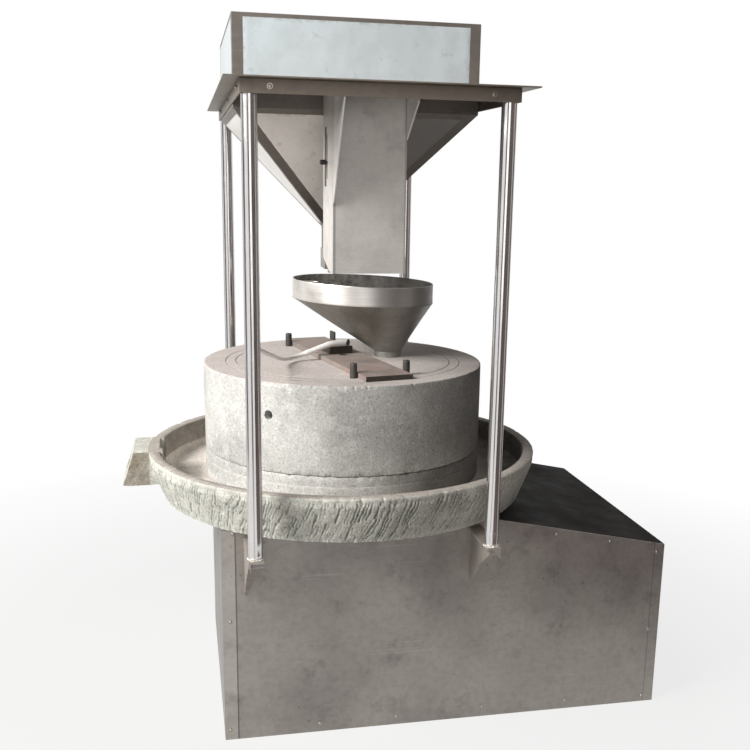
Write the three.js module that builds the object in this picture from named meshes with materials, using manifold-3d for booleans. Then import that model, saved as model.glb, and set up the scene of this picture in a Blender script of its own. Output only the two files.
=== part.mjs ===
// Electric stone mill for nut butter, in millimetres, +Z up.
// Origin: on the floor, under the turning axis of the stones. -Y is the front, +X is the motor side.
// A fixed upper stone sits on a turning lower stone inside a stone basin. A hopper on four posts
// feeds a funnel that stands on the eye of the upper stone. The drive is inside the cabinet.

import * as THREE from 'three';
import { mergeVertices } from 'three/addons/utils/BufferGeometryUtils.js';
import Module from 'manifold-3d';

const wasm = await Module();
wasm.setup();

// Clearances and overruns
const seatGap = 0.3;
const runGap = 1;
const cutOverrun = 5;

// Cabinet
const cabinetLeft = -328;
const cabinetRight = 753;
const cabinetHalfDepth = 342;
const cabinetHeight = 516;
const slopeStart = 293;
const slopeEndHeight = 424;
const panelSheet = 2;
const cornerReturn = 30;
const coverLip = 25;
const basePlateThickness = 4;
const topPlateThickness = 12;
const uprightWidth = 50;
const uprightWall = 3;

// Stones
const stoneRadius = 350;
const lowerStoneThickness = 70;
const stoneFootGap = 6;
const upperStoneThickness = 210;
const upperBoreRadius = 32;
const eyeX = 124;
const eyeY = 42;
const eyeRadius = 31;
const liftHoleRadius = 11;
const liftHoleDepth = 60;
const liftHoleRise = 134;
const liftHoleAngle = -127.8;

// Basin
const basinRimRadius = 491;
const basinRimWidth = 27;
const basinFootRadius = 458;
const basinHeight = 110.5;
const basinEdgeDrop = 22;
const basinRimBevel = 2;
const channelFloorThickness = 40;
const channelSlope = 4;
const basinHoleRadius = 150;
const collarWidth = 15;
const collarRise = 3;

// Spout on the basin
const spoutTopReach = 526;
const spoutFootReach = 554;
const spoutFrontY = -45;
const spoutBackY = 110;
const spoutFlare = 8;
const spoutDepth = 81.5;
const spoutRootReach = 452;
const spoutFlatReach = 468;
const spoutFlatFrontY = -10;
const spoutFlatBackY = 100;
const outletFrontY = 10;
const outletWidth = 70;
const outletHeight = 36;

// Turntable, shaft and bearings
const shaftRadius = 25;
const shaftNeckRadius = 14;
const shaftFootRise = 26;
const shaftStandUp = 58;
const shaftNeckLength = 15;
const turntableRadius = 140;
const turntableThickness = 26;
const turntableHubRadius = 45;
const turntableHubDepth = 16;
const topPlateHoleRadius = 40;
const upperBearingRadius = 90;
const upperBearingFlange = 14;
const upperBearingBarrelRadius = 48;
const upperBearingDepth = 44;
const lowerBearingRadius = 85;
const lowerBearingFlange = 16;
const lowerBearingBarrelRadius = 46;
const lowerBearingHeight = 62;

// Drive
const beltRise = 71;
const beltWidth = 40;
const beltThickness = 8;
const drivenSeatRadius = 165;
const motorSeatRadius = 55;
const pulleyFlangeRise = 10;
const pulleyFlangeThickness = 5;
const pulleyHubRise = 15;
const drivenHubRadius = 50;
const motorAxisX = 560;
const gearShaftRadius = 15;
const gearShaftLength = 100;
const gearboxLength = 170;
const gearboxWidth = 150;
const gearboxHeight = 136;
const mountPlateThickness = 14;
const mountPlateLength = 260;
const mountPlateWidth = 240;
const motorRadius = 66;
const fanGap = 45;
const motorFlangeRadius = 76;
const motorFlangeThickness = 12;
const fanCoverRadius = 64;
const fanCoverLength = 45;
const terminalBoxWidth = 84;
const terminalBoxHeight = 36;
const terminalBoxLength = 90;

// Scraper on the lower stone
const scraperAngle = 52;
const scraperThickness = 6;
const scraperHeight = 40;
const scraperFootGap = 1.2;
const scraperSideGap = 3;
const scraperFlangeLength = 34;

// Crossbar with its screw boss, pegs and arm block on the upper stone
const barLength = 600;
const barWidth = 116;
const barThickness = 12;
const barAngle = 101.8;
const pegAlong = 243;
const pegRadius = 8.5;
const pegRise = 35;
const pegSink = 30;
const clipLeg = 35;
const clipFoot = 26;
const clipWidth = 34;
const clipThickness = 5;
const bossRadius = 28;
const bossDepth = 40;
const blockStart = 12;
const blockLength = 68;
const blockWidth = 62;
const blockHeight = 19;

// Adjusting screw: a coarse thread of 2.5 mm pitch, two turns lift the stone by 5 mm
const screwRadius = 10;
const screwSocket = 8;
const screwSocketDepth = 10;

// Torque arm: a tapered bent tube on the block, and a rod from it to the front left post
const armTubeRadius = 8.5;
const armTubeWall = 1.4;
const armStartX = 26;
const armStartY = 25;
const armBendX = -33;
const armBendY = 1;
const armBendRadius = 10;
const armMitre = 38;
const armRodRadius = 5;
const armInsert = 40;
const armKneeX = -150;
const armKneeY = -22;
const armKneeRise = 2;
const armKneeBefore = 50;
const armKneePast = 120;
const armTubeGap = 52;
const armEndAside = 5;
const armEndGap = 1.5;
const armEndRise = 96;

// Funnel
const spoutRadius = 35;
const funnelSpoutHeight = 15;
const funnelRimX = 60;
const funnelRimY = 60;
const funnelRimRadius = 181;
const funnelHeight = 194;
const funnelHoopHeight = 48;
const funnelSheet = 1.6;
const funnelTilt = 2;
const wireRadius = 1.6;
const wireLoopLength = 62;
const wireLoopWidth = 34;
const wireAngle = 200;

// Top frame and posts
const bandHalfWidth = 280;
const bandHalfDepth = 494.5;
const bandHeight = 27;
const bandThickness = 3;
const topSheet = 3;
const topOverhangX = 31;
const topOverhangY = 29.5;
const postRadius = 16;
const postWall = 2;
const postLength = 970;

// Post brackets
const shelfDrop = 16;
const shelfThickness = 6;
const shelfWidth = 34;
const bracketReach = 153;
const bracketDrop = 138;
const bracketSheet = 3;
const flangeFootWidth = 6;
const leftFlangeWidth = 32;
const rightFlangeWidth = 16;
const bracketToothDrop = 28;
const bracketToothSheet = 4;
const bracketSag = 10;
const bracketSagShare = 0.42;
const leftToothWidth = 6;
const rightToothWidth = 20;
const rightCheekStep = 10;
const bracketNoseDrop = 10;

// Hopper
const hopperFrontY = -198;
const hopperBackY = 395;
const hopperRise = 158;
const hopperBendDrop = 34;
const hopperSheet = 2;
const neckHalf = 37;
const pyramidDepth = 267;
const neckLength = 99;

// Gate housing in front of the hopper
const housingHalf = 79;
const housingFrontY = -348;
const housingLength = 380;
const housingSheet = 2;
const housingHeelRise = 24;
const housingHeelFrontY = -300;
const slotFrontY = -268;
const slotBackY = -250;
const slotRise = 198;
const slotLength = 94;
const slotStripWidth = 18;
const slotStripSheet = 1.5;
const slotStripMargin = 16;
const gussetSheet = 3;
const leftGussetDepth = 238;
const rightGussetDepth = 103;
const rightGussetReach = 111;
const gussetNose = 29;

// Choke sleeve and its lift arm
const sleeveGap = 0.4;
const sleeveSheet = 2;
const sleeveDrop = 54;
const sleeveHeight = 50;
const gateBarWidth = 20;
const gateBarThickness = 6;
const gateBarPast = 17;
const gateArmDrop = 30;
const knobRise = 35;
const knobStemRadius = 3;
const knobRadius = 5.5;
const knobLength = 13;
const knobStandoff = 3;
const knobRound = 2;

// Heights and places worked out from the values above
const topPlateFoot = cabinetHeight - topPlateThickness;
const channelFloor = cabinetHeight + channelFloorThickness;
const basinTop = cabinetHeight + basinHeight;
const basinInnerRadius = basinRimRadius - basinRimWidth;
const stoneFoot = channelFloor + stoneFootGap;
const grindingHeight = stoneFoot + lowerStoneThickness;
const stoneTop = grindingHeight + upperStoneThickness;
const barTop = stoneTop + barThickness;
const blockTop = barTop + blockHeight;
const funnelTop = stoneTop + funnelHeight;
const turntableFoot = stoneFoot - turntableThickness;
const shaftFoot = basePlateThickness + shaftFootRise;
const shaftShoulder = grindingHeight + shaftStandUp;
const shaftTop = shaftShoulder + shaftNeckLength;
const motorLength = cabinetHalfDepth - panelSheet - fanGap - fanCoverLength - gearboxWidth / 2;
const mountPlateTop = basePlateThickness + mountPlateThickness;
const gearboxTop = mountPlateTop + gearboxHeight;
const beltMidHeight = gearboxTop + beltRise;
const shelfHeight = cabinetHeight - shelfDrop;
const bandTop = shelfHeight + postLength;
const bandFoot = bandTop - bandHeight;
const frameTop = bandTop + topSheet;
const hopperTop = frameTop + hopperRise;
const hopperBend = bandTop - hopperBendDrop;
const neckTop = hopperBend - pyramidDepth;
const neckFoot = neckTop - neckLength;
const housingFoot = bandTop - housingLength;
const slotFoot = housingFoot + slotRise;
const slotTop = slotFoot + slotLength;
const knobHeight = slotFoot + knobRise;
const sleeveTop = neckTop - sleeveDrop;
const gateArmFoot = sleeveTop - gateArmDrop;
const postX = bandHalfWidth - bandThickness - seatGap - postRadius;
const postY = bandHalfDepth - bandThickness - seatGap - postRadius;
const uprightX = postX;
const hopperHalf = bandHalfWidth - bandThickness;
const hopperMidY = (hopperFrontY + hopperBackY) / 2;
const hopperHalfDepth = (hopperBackY - hopperFrontY) / 2;
const sleeveInner = neckHalf + sleeveGap;
const sleeveOuter = sleeveInner + sleeveSheet;
const slotMidY = (slotFrontY + slotBackY) / 2;

// Colours
const bluishSteel = { color: 0xb9c0c1, roughness: 0.42, metalness: 0.85 };
const greySteel = { color: 0x857d78, roughness: 0.5, metalness: 0.8 };
const darkSteel = { color: 0x4c4740, roughness: 0.55, metalness: 0.7 };
const brightSteel = { color: 0xd4d6d6, roughness: 0.18, metalness: 1 };
const frameSteel = { color: 0x6b625a, roughness: 0.6, metalness: 0.7 };
const rustySteel = { color: 0x94746a, roughness: 0.8, metalness: 0.5 };
const greyStone = { color: 0xa9a9a3, roughness: 0.95, metalness: 0 };
const paleStone = { color: 0xbcc2b6, roughness: 0.95, metalness: 0 };
const blackPlastic = { color: 0x1c1c1c, roughness: 0.4, metalness: 0 };
const castIron = { color: 0x3d4042, roughness: 0.7, metalness: 0.6 };
const bluePaint = { color: 0x2f5d86, roughness: 0.45, metalness: 0.1 };
const blackRubber = { color: 0x191919, roughness: 0.9, metalness: 0 };

// Facets round a circle, by size
const fineFacets = 96;
const funnelFacets = 48;
const shaftFacets = 32;
const rodFacets = 16;
const wireFacets = 6;
const wireSteps = 20;
const armTubeSteps = 10;
const rodSteps = 28;

const mill = new THREE.Group();

// Adds a named piece to a group
function piece(name, geometry, finish, group = mill) {
  const mesh = new THREE.Mesh(geometry, new THREE.MeshStandardMaterial(finish));
  mesh.name = name;
  group.add(mesh);
  return mesh;
}

// A closed geometry with one shared vertex per place and no flattened triangles
function welded(geometry) {
  const bare = geometry.clone();
  bare.deleteAttribute('normal');
  bare.deleteAttribute('uv');
  const merged = mergeVertices(bare);
  const index = merged.index.array;
  const kept = [];
  for (let i = 0; i < index.length; i += 3) {
    const [a, b, c] = [index[i], index[i + 1], index[i + 2]];
    if (a !== b && b !== c && c !== a) {
      kept.push(a, b, c);
    }
  }
  merged.setIndex(kept);
  return merged;
}

// Six times the enclosed volume, negative when the faces point inward
function signedVolume(geometry) {
  const place = geometry.attributes.position;
  const index = geometry.index.array;
  const corner = (k) => new THREE.Vector3().fromBufferAttribute(place, index[k]);
  let sum = 0;
  for (let i = 0; i < index.length; i += 3) {
    sum += corner(i).dot(corner(i + 1).cross(corner(i + 2)));
  }
  return sum;
}

// The same geometry with its faces pointing out
function facingOut(geometry) {
  const closed = welded(geometry);
  if (signedVolume(closed) < 0) {
    const index = Array.from(closed.index.array);
    closed.setIndex(index.reverse());
  }
  closed.computeVertexNormals();
  return closed;
}

// Joining and cutting
function toSolid(geometry) {
  const closed = facingOut(geometry);
  const vertProperties = new Float32Array(closed.attributes.position.array);
  const triVerts = new Uint32Array(closed.index.array);
  return new wasm.Manifold(new wasm.Mesh({ numProp: 3, vertProperties, triVerts }));
}

function fromSolid(solid) {
  const data = solid.getMesh();
  const geometry = new THREE.BufferGeometry();
  geometry.setAttribute('position', new THREE.BufferAttribute(new Float32Array(data.vertProperties), 3));
  geometry.setIndex(Array.from(data.triVerts));
  geometry.computeVertexNormals();
  return geometry;
}

function joined(...geometries) {
  return fromSolid(geometries.map(toSolid).reduce((sum, next) => sum.add(next)));
}

function cut(body, ...tools) {
  return fromSolid(tools.map(toSolid).reduce((rest, tool) => rest.subtract(tool), toSolid(body)));
}

// A box between two corners
function block(x0, x1, y0, y1, z0, z1) {
  const box = new THREE.BoxGeometry(x1 - x0, y1 - y0, z1 - z0);
  return box.translate((x0 + x1) / 2, (y0 + y1) / 2, (z0 + z1) / 2);
}

// An upright cylinder between two heights
function disc(radius, z0, z1, facets = shaftFacets) {
  const cylinder = new THREE.CylinderGeometry(radius, radius, z1 - z0, facets);
  return cylinder.rotateX(Math.PI / 2).translate(0, 0, (z0 + z1) / 2);
}

// A body of revolution about the Z axis, from [radius, height] pairs
function turned(profile, facets = shaftFacets) {
  const points = profile.map(([radius, height]) => new THREE.Vector2(radius, height));
  return facingOut(new THREE.LatheGeometry(points, facets).rotateX(Math.PI / 2));
}

// The same, for a profile that goes round a hole and closes on itself
function turnedRing(profile, facets = shaftFacets) {
  return turned([...profile, profile[0]], facets);
}

function outline(points) {
  return new THREE.Shape(points.map(([u, v]) => new THREE.Vector2(u, v)));
}

// A plate whose outline lies in the XY plane
function plateXY(points, z0, z1) {
  return new THREE.ExtrudeGeometry(outline(points), { depth: z1 - z0, bevelEnabled: false }).translate(0, 0, z0);
}

// A plate whose outline lies in the XZ plane
function plateXZ(points, y0, y1) {
  const plate = new THREE.ExtrudeGeometry(outline(points), { depth: y1 - y0, bevelEnabled: false });
  return plate.rotateX(Math.PI / 2).translate(0, y1, 0);
}

// A plate whose outline lies in the YZ plane
function plateYZ(points, x0, x1) {
  const plate = new THREE.ExtrudeGeometry(outline(points), { depth: x1 - x0, bevelEnabled: false });
  const turn = new THREE.Matrix4().makeBasis(
    new THREE.Vector3(0, 1, 0),
    new THREE.Vector3(0, 0, 1),
    new THREE.Vector3(1, 0, 0),
  );
  return plate.applyMatrix4(turn).translate(x0, 0, 0);
}

// A skin through rings of points. A closed loft joins its last ring to its first, an open one has end caps
function loft(rings, closed) {
  const count = rings[0].length;
  const places = rings.flat().flatMap((point) => [point.x, point.y, point.z]);
  const faces = [];
  const spans = closed ? rings.length : rings.length - 1;
  for (let i = 0; i < spans; i += 1) {
    const here = i * count;
    const next = ((i + 1) % rings.length) * count;
    for (let j = 0; j < count; j += 1) {
      const k = (j + 1) % count;
      faces.push(here + j, here + k, next + k);
      faces.push(here + j, next + k, next + j);
    }
  }
  if (!closed) {
    const last = (rings.length - 1) * count;
    for (let j = 1; j < count - 1; j += 1) {
      faces.push(0, j + 1, j);
      faces.push(last, last + j, last + j + 1);
    }
  }
  const geometry = new THREE.BufferGeometry();
  geometry.setAttribute('position', new THREE.Float32BufferAttribute(places, 3));
  geometry.setIndex(faces);
  return facingOut(geometry);
}

// Rectangular ring of four corners at one height
function rectangle(midX, midY, halfX, halfY, z) {
  const signs = [[-1, -1], [1, -1], [1, 1], [-1, 1]];
  return signs.map(([sx, sy]) => new THREE.Vector3(midX + sx * halfX, midY + sy * halfY, z));
}

// Circular ring, tilted down towards +X by a slope
function circle(midX, midY, radius, z, slope = 0, facets = funnelFacets) {
  return Array.from({ length: facets }, (_, i) => {
    const angle = (2 * Math.PI * i) / facets;
    const dx = radius * Math.cos(angle);
    return new THREE.Vector3(midX + dx, midY + radius * Math.sin(angle), z - dx * slope);
  });
}

// A round bar swept along a curve
function bar(curve, radius, facets, steps) {
  const section = new THREE.Shape();
  section.absarc(0, 0, radius, 0, 2 * Math.PI);
  const options = { steps, curveSegments: facets / 2, bevelEnabled: false, extrudePath: curve };
  return facingOut(new THREE.ExtrudeGeometry(section, options));
}

// Outline and underside of the cabinet's slope
const slope = (cabinetHeight - slopeEndHeight) / (cabinetRight - slopeStart);
const coverDrop = panelSheet * Math.hypot(1, slope);
const insideDepth = cabinetHalfDepth - panelSheet;

function addCabinet() {
  const insideLeft = cabinetLeft + panelSheet;
  const insideRight = cabinetRight - panelSheet;
  const seam = cabinetLeft + cornerReturn;
  piece('base_plate', block(insideLeft, insideRight, -insideDepth, insideDepth, 0, basePlateThickness), greySteel);

  const side = [
    [seam, 0],
    [cabinetRight, 0],
    [cabinetRight, slopeEndHeight],
    [slopeStart, cabinetHeight],
    [seam, cabinetHeight],
  ];
  piece('front_panel', plateXZ(side, -cabinetHalfDepth, -insideDepth), greySteel);
  piece('rear_panel', plateXZ(side, insideDepth, cabinetHalfDepth), greySteel);

  const folded = [
    [seam, -cabinetHalfDepth],
    [seam, -insideDepth],
    [insideLeft, -insideDepth],
    [insideLeft, insideDepth],
    [seam, insideDepth],
    [seam, cabinetHalfDepth],
    [cabinetLeft, cabinetHalfDepth],
    [cabinetLeft, -cabinetHalfDepth],
  ];
  piece('left_panel', plateXY(folded, 0, cabinetHeight), greySteel);

  const rightTop = slopeEndHeight - coverDrop;
  piece('right_panel', block(insideRight, cabinetRight, -insideDepth, insideDepth, 0, rightTop), greySteel);

  const plate = block(insideLeft, slopeStart, -insideDepth, insideDepth, topPlateFoot, cabinetHeight);
  const hole = disc(topPlateHoleRadius, topPlateFoot - cutOverrun, cabinetHeight + cutOverrun);
  piece('top_plate', cut(plate, hole), greySteel);

  const coverLine = (drop) => [
    [slopeStart, cabinetHeight],
    [cabinetRight, slopeEndHeight],
    [cabinetRight, slopeEndHeight - drop],
    [slopeStart, cabinetHeight - drop],
  ];
  const lipLine = [
    [slopeStart, cabinetHeight],
    [insideRight, slopeEndHeight + slope * panelSheet],
    [insideRight, slopeEndHeight - coverLip],
    [slopeStart, cabinetHeight - coverLip],
  ];
  const lipInside = insideDepth - panelSheet;
  const cover = joined(
    plateXZ(coverLine(coverDrop), -insideDepth, insideDepth),
    plateXZ(lipLine, -insideDepth, -lipInside),
    plateXZ(lipLine, lipInside, insideDepth),
  );
  piece('motor_cover', cover, darkSteel);
}

// Square tubes that carry the top plate, behind the post brackets
function addUprights() {
  const half = uprightWidth / 2;
  const bore = half - uprightWall;
  const midY = insideDepth - half;
  const tube = loft([
    rectangle(0, 0, half, half, basePlateThickness),
    rectangle(0, 0, half, half, topPlateFoot),
    rectangle(0, 0, bore, bore, topPlateFoot),
    rectangle(0, 0, bore, bore, basePlateThickness),
  ], true);
  piece('upright_front_left', tube, frameSteel).position.set(-uprightX, -midY, 0);
  piece('upright_front_right', tube, frameSteel).position.set(uprightX, -midY, 0);
  piece('upright_rear_left', tube, frameSteel).position.set(-uprightX, midY, 0);
  piece('upright_rear_right', tube, frameSteel).position.set(uprightX, midY, 0);
}

// Shelf on a triangular cheek whose lower edge is folded into a flange that widens upward, and a pointed
// tooth at the nose, drawn for the front side. The cheek stands a step in from the shelf's left edge
function bracketShape(cheekStep, flangeWidth, toothStart, toothWidth) {
  const half = shelfWidth / 2;
  const back = -cabinetHalfDepth;
  const nose = back - bracketReach;
  const shelfFoot = shelfHeight - shelfThickness;
  const noseFoot = shelfFoot - bracketNoseDrop;
  const foot = shelfHeight - bracketDrop;
  const sagY = back - bracketReach * bracketSagShare;
  const sagZ = foot + (noseFoot - foot) * bracketSagShare + bracketSag;
  const cheekFront = nose + bracketToothSheet;
  const cheek = [
    [back, shelfFoot],
    [back, foot],
    [sagY, sagZ],
    [cheekFront, noseFoot],
    [cheekFront, shelfFoot],
  ];
  const cheekLeft = -half + cheekStep;
  const fold = (y, z, width) => [
    new THREE.Vector3(cheekLeft, y, z),
    new THREE.Vector3(cheekLeft + width, y, z),
    new THREE.Vector3(cheekLeft + width, y, z + bracketSheet),
    new THREE.Vector3(cheekLeft, y, z + bracketSheet),
  ];
  const sagWidth = flangeFootWidth + (flangeWidth - flangeFootWidth) * bracketSagShare;
  const flange = loft([
    fold(back, foot, flangeFootWidth),
    fold(sagY, sagZ, sagWidth),
    fold(cheekFront, noseFoot, flangeWidth),
  ], false);
  const toothLeft = -half + toothStart;
  const toothRight = toothLeft + toothWidth;
  const tooth = [
    [toothLeft, shelfHeight],
    [toothRight, shelfHeight],
    [toothRight, shelfHeight - bracketToothDrop],
  ];
  return joined(
    block(-half, half, nose, back, shelfFoot, shelfHeight),
    plateYZ(cheek, cheekLeft, cheekLeft + bracketSheet),
    flange,
    plateXZ(tooth, nose, nose + bracketToothSheet),
  );
}

function addPostsAndBrackets() {
  const leftBracket = bracketShape(0, leftFlangeWidth, 0, leftToothWidth);
  const rightTooth = shelfWidth - rightToothWidth;
  const rightBracket = bracketShape(rightCheekStep, rightFlangeWidth, rightTooth, rightToothWidth);
  const bore = postRadius - postWall;
  const post = turnedRing([
    [bore, shelfHeight],
    [postRadius, shelfHeight],
    [postRadius, bandTop],
    [bore, bandTop],
  ]);
  const corners = [
    ['front_left', -1, -1],
    ['front_right', 1, -1],
    ['rear_left', -1, 1],
    ['rear_right', 1, 1],
  ];
  for (const [name, sideX, sideY] of corners) {
    const bracket = sideX * sideY > 0 ? leftBracket : rightBracket;
    const carrier = piece(`post_bracket_${name}`, bracket, greySteel);
    carrier.position.set(sideX * postX, 0, 0);
    carrier.rotation.set(0, 0, sideY > 0 ? Math.PI : 0);
    piece(`post_${name}`, post, brightSteel).position.set(sideX * postX, sideY * postY, 0);
  }
}

function addTopFrame() {
  const innerX = bandHalfWidth - bandThickness;
  const innerY = bandHalfDepth - bandThickness;
  const band = loft([
    rectangle(0, 0, bandHalfWidth, bandHalfDepth, bandFoot),
    rectangle(0, 0, bandHalfWidth, bandHalfDepth, bandTop),
    rectangle(0, 0, innerX, innerY, bandTop),
    rectangle(0, 0, innerX, innerY, bandFoot),
  ], true);
  piece('top_band', band, frameSteel);

  const halfX = bandHalfWidth + topOverhangX;
  const halfY = bandHalfDepth + topOverhangY;
  const holeX = hopperHalf + seatGap;
  const holeY = hopperHalfDepth + seatGap;
  const sheet = loft([
    rectangle(0, 0, halfX, halfY, bandTop),
    rectangle(0, 0, halfX, halfY, frameTop),
    rectangle(0, hopperMidY, holeX, holeY, frameTop),
    rectangle(0, hopperMidY, holeX, holeY, bandTop),
  ], true);
  piece('top_sheet', sheet, frameSteel);
}

// Box, pyramid and square outlet neck, one folded shell that is open at both ends
function addHopper() {
  const shell = (inset) => [
    rectangle(0, hopperMidY, neckHalf - inset, neckHalf - inset, neckFoot),
    rectangle(0, hopperMidY, neckHalf - inset, neckHalf - inset, neckTop),
    rectangle(0, hopperMidY, hopperHalf - inset, hopperHalfDepth - inset, hopperBend),
    rectangle(0, hopperMidY, hopperHalf - inset, hopperHalfDepth - inset, hopperTop),
  ];
  piece('hopper', loft([...shell(0), ...shell(hopperSheet).reverse()], true), bluishSteel);
}

// Channel section under the top sheet, with its open back against the hopper
function addGateHousing() {
  const inside = housingHalf - housingSheet;
  const frontInside = housingFrontY + housingSheet;
  const heel = housingFoot + housingHeelRise;
  const cheek = [
    [housingFrontY, housingFoot],
    [housingHeelFrontY, housingFoot],
    [hopperFrontY, heel],
    [hopperFrontY, bandTop],
    [housingFrontY, bandTop],
  ];
  const shell = joined(
    block(-housingHalf, housingHalf, housingFrontY, frontInside, housingFoot, bandTop),
    plateYZ(cheek, -housingHalf, -inside),
    plateYZ(cheek, inside, housingHalf),
  );
  const slotOuter = -housingHalf - cutOverrun;
  const slot = block(slotOuter, -inside + cutOverrun, slotFrontY, slotBackY, slotFoot, slotTop);
  piece('gate_housing', cut(shell, slot), bluishSteel);

  const stripFront = slotBackY + runGap;
  const strip = block(
    -housingHalf - slotStripSheet,
    -housingHalf,
    stripFront,
    stripFront + slotStripWidth,
    slotFoot - slotStripMargin,
    slotTop + slotStripMargin,
  );
  piece('slot_strip', strip, brightSteel);
}

// Braces between the housing's front and the band
function addGussets() {
  const bandInside = -bandHalfDepth + bandThickness;
  const left = [
    [housingFrontY, bandTop - leftGussetDepth],
    [housingFrontY, bandTop],
    [bandInside, bandTop],
    [bandInside, bandTop - gussetNose],
  ];
  const rightEnd = housingFrontY - rightGussetReach;
  const right = [
    [housingFrontY, bandTop - rightGussetDepth],
    [housingFrontY, bandTop],
    [rightEnd, bandTop],
    [rightEnd, bandTop - gussetNose],
  ];
  piece('left_gusset', plateYZ(left, -housingHalf, -housingHalf + gussetSheet), bluishSteel);
  piece('right_gusset', plateYZ(right, housingHalf - gussetSheet, housingHalf), bluishSteel);
}

// Sleeve that slides on the hopper's neck, and the bent flat bar that its knob lifts
function addFeedGate() {
  const sleeveFoot = sleeveTop - sleeveHeight;
  const sleeve = loft([
    rectangle(0, hopperMidY, sleeveOuter, sleeveOuter, sleeveFoot),
    rectangle(0, hopperMidY, sleeveOuter, sleeveOuter, sleeveTop),
    rectangle(0, hopperMidY, sleeveInner, sleeveInner, sleeveTop),
    rectangle(0, hopperMidY, sleeveInner, sleeveInner, sleeveFoot),
  ], true);
  piece('choke_sleeve', sleeve, greySteel);

  const outerX = -housingHalf + housingSheet + runGap;
  const innerX = outerX + gateBarThickness;
  const barFront = slotMidY - gateBarWidth / 2;
  const barBack = slotMidY + gateBarWidth / 2;
  const armTop = gateArmFoot + gateBarWidth;
  const half = gateBarThickness / 2;
  const arm = joined(
    block(outerX, innerX, barFront, barBack, gateArmFoot, knobHeight + gateBarPast),
    block(outerX, half, barBack - gateBarThickness, barBack, gateArmFoot, armTop),
    block(-half, half, barBack - gateBarThickness, hopperMidY - sleeveOuter, gateArmFoot, armTop),
  );
  piece('gate_arm', arm, greySteel);

  const reach = housingHalf - Math.abs(outerX) + knobStandoff;
  const knob = turned([
    [0, 0],
    [knobStemRadius, 0],
    [knobStemRadius, reach],
    [knobRadius, reach],
    [knobRadius, reach + knobLength - knobRound],
    [knobRadius - knobRound, reach + knobLength],
    [0, reach + knobLength],
  ], rodFacets);
  const mesh = piece('gate_knob', knob, blackPlastic);
  mesh.position.set(outerX, slotMidY, knobHeight);
  mesh.rotation.set(0, -Math.PI / 2, 0);
}

// Cone with its centre moving sideways from the spout to the rim, a rolled hoop, and a wire loop
function addFunnel() {
  const tilt = Math.tan(THREE.MathUtils.degToRad(funnelTilt));
  const coneTop = funnelTop - funnelHoopHeight;
  const neck = stoneTop + funnelSpoutHeight;
  const skin = (inset) => [
    circle(eyeX, eyeY, spoutRadius - inset, stoneTop),
    circle(eyeX, eyeY, spoutRadius - inset, neck),
    circle(funnelRimX, funnelRimY, funnelRimRadius - inset, coneTop, tilt),
  ];
  piece('funnel_cone', loft([...skin(0), ...skin(funnelSheet).reverse()], true), darkSteel);

  const hoopInner = funnelRimRadius - funnelSheet;
  const hoop = loft([
    circle(funnelRimX, funnelRimY, funnelRimRadius, coneTop, tilt),
    circle(funnelRimX, funnelRimY, funnelRimRadius, funnelTop, tilt),
    circle(funnelRimX, funnelRimY, hoopInner, funnelTop, tilt),
    circle(funnelRimX, funnelRimY, hoopInner, coneTop, tilt),
  ], true);
  piece('funnel_hoop', hoop, brightSteel);

  const reach = hoopInner * Math.cos(Math.PI / funnelFacets) - seatGap;
  const half = wireLoopWidth / 2;
  const foot = Math.sqrt(reach ** 2 - half ** 2);
  const ring = new THREE.CatmullRomCurve3([
    new THREE.Vector3(foot, -half, 0),
    new THREE.Vector3(foot - wireLoopLength / 2, -half, 0),
    new THREE.Vector3(reach - wireLoopLength, 0, 0),
    new THREE.Vector3(foot - wireLoopLength / 2, half, 0),
    new THREE.Vector3(foot, half, 0),
  ]);
  const wire = piece('funnel_wire', bar(ring, wireRadius, wireFacets, wireSteps), brightSteel);
  const angle = THREE.MathUtils.degToRad(wireAngle);
  wire.position.set(funnelRimX, funnelRimY, funnelTop - funnelHoopHeight / 4);
  wire.rotation.set(0, THREE.MathUtils.degToRad(funnelTilt), 0);
  wire.rotateZ(angle);
}

// Everything on the crossbar lies in this turned group: its X is the bar's length, its Y the bar's width
const barGroup = new THREE.Group();
barGroup.rotation.set(0, 0, THREE.MathUtils.degToRad(barAngle));
mill.add(barGroup);

const pegAcross = barWidth / 2 + pegRadius + seatGap;
const pegPlaces = [
  ['peg_front_left', -pegAlong, pegAcross],
  ['peg_front_right', -pegAlong, -pegAcross],
  ['peg_rear_left', pegAlong, pegAcross],
];

function inWorld(x, y) {
  return new THREE.Vector3(x, y, 0).applyAxisAngle(new THREE.Vector3(0, 0, 1), barGroup.rotation.z);
}

function addUpperStone() {
  const stone = disc(stoneRadius, grindingHeight + seatGap, stoneTop, fineFacets);
  const below = grindingHeight - cutOverrun;
  const above = stoneTop + cutOverrun;
  const holes = [
    disc(upperBoreRadius, below, above),
    disc(eyeRadius, below, above).translate(eyeX, eyeY, 0),
  ];
  for (const [, x, y] of pegPlaces) {
    const place = inWorld(x, y);
    holes.push(disc(pegRadius + seatGap, stoneTop - pegSink, above, rodFacets).translate(place.x, place.y, 0));
  }
  const start = stoneRadius - liftHoleDepth;
  for (const side of [liftHoleAngle, liftHoleAngle + 180]) {
    const drill = disc(liftHoleRadius, start, stoneRadius + cutOverrun, rodFacets).rotateY(Math.PI / 2);
    drill.rotateZ(THREE.MathUtils.degToRad(side));
    holes.push(drill.translate(0, 0, grindingHeight + liftHoleRise));
  }
  piece('upper_stone', cut(stone, ...holes), greyStone);
}

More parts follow.
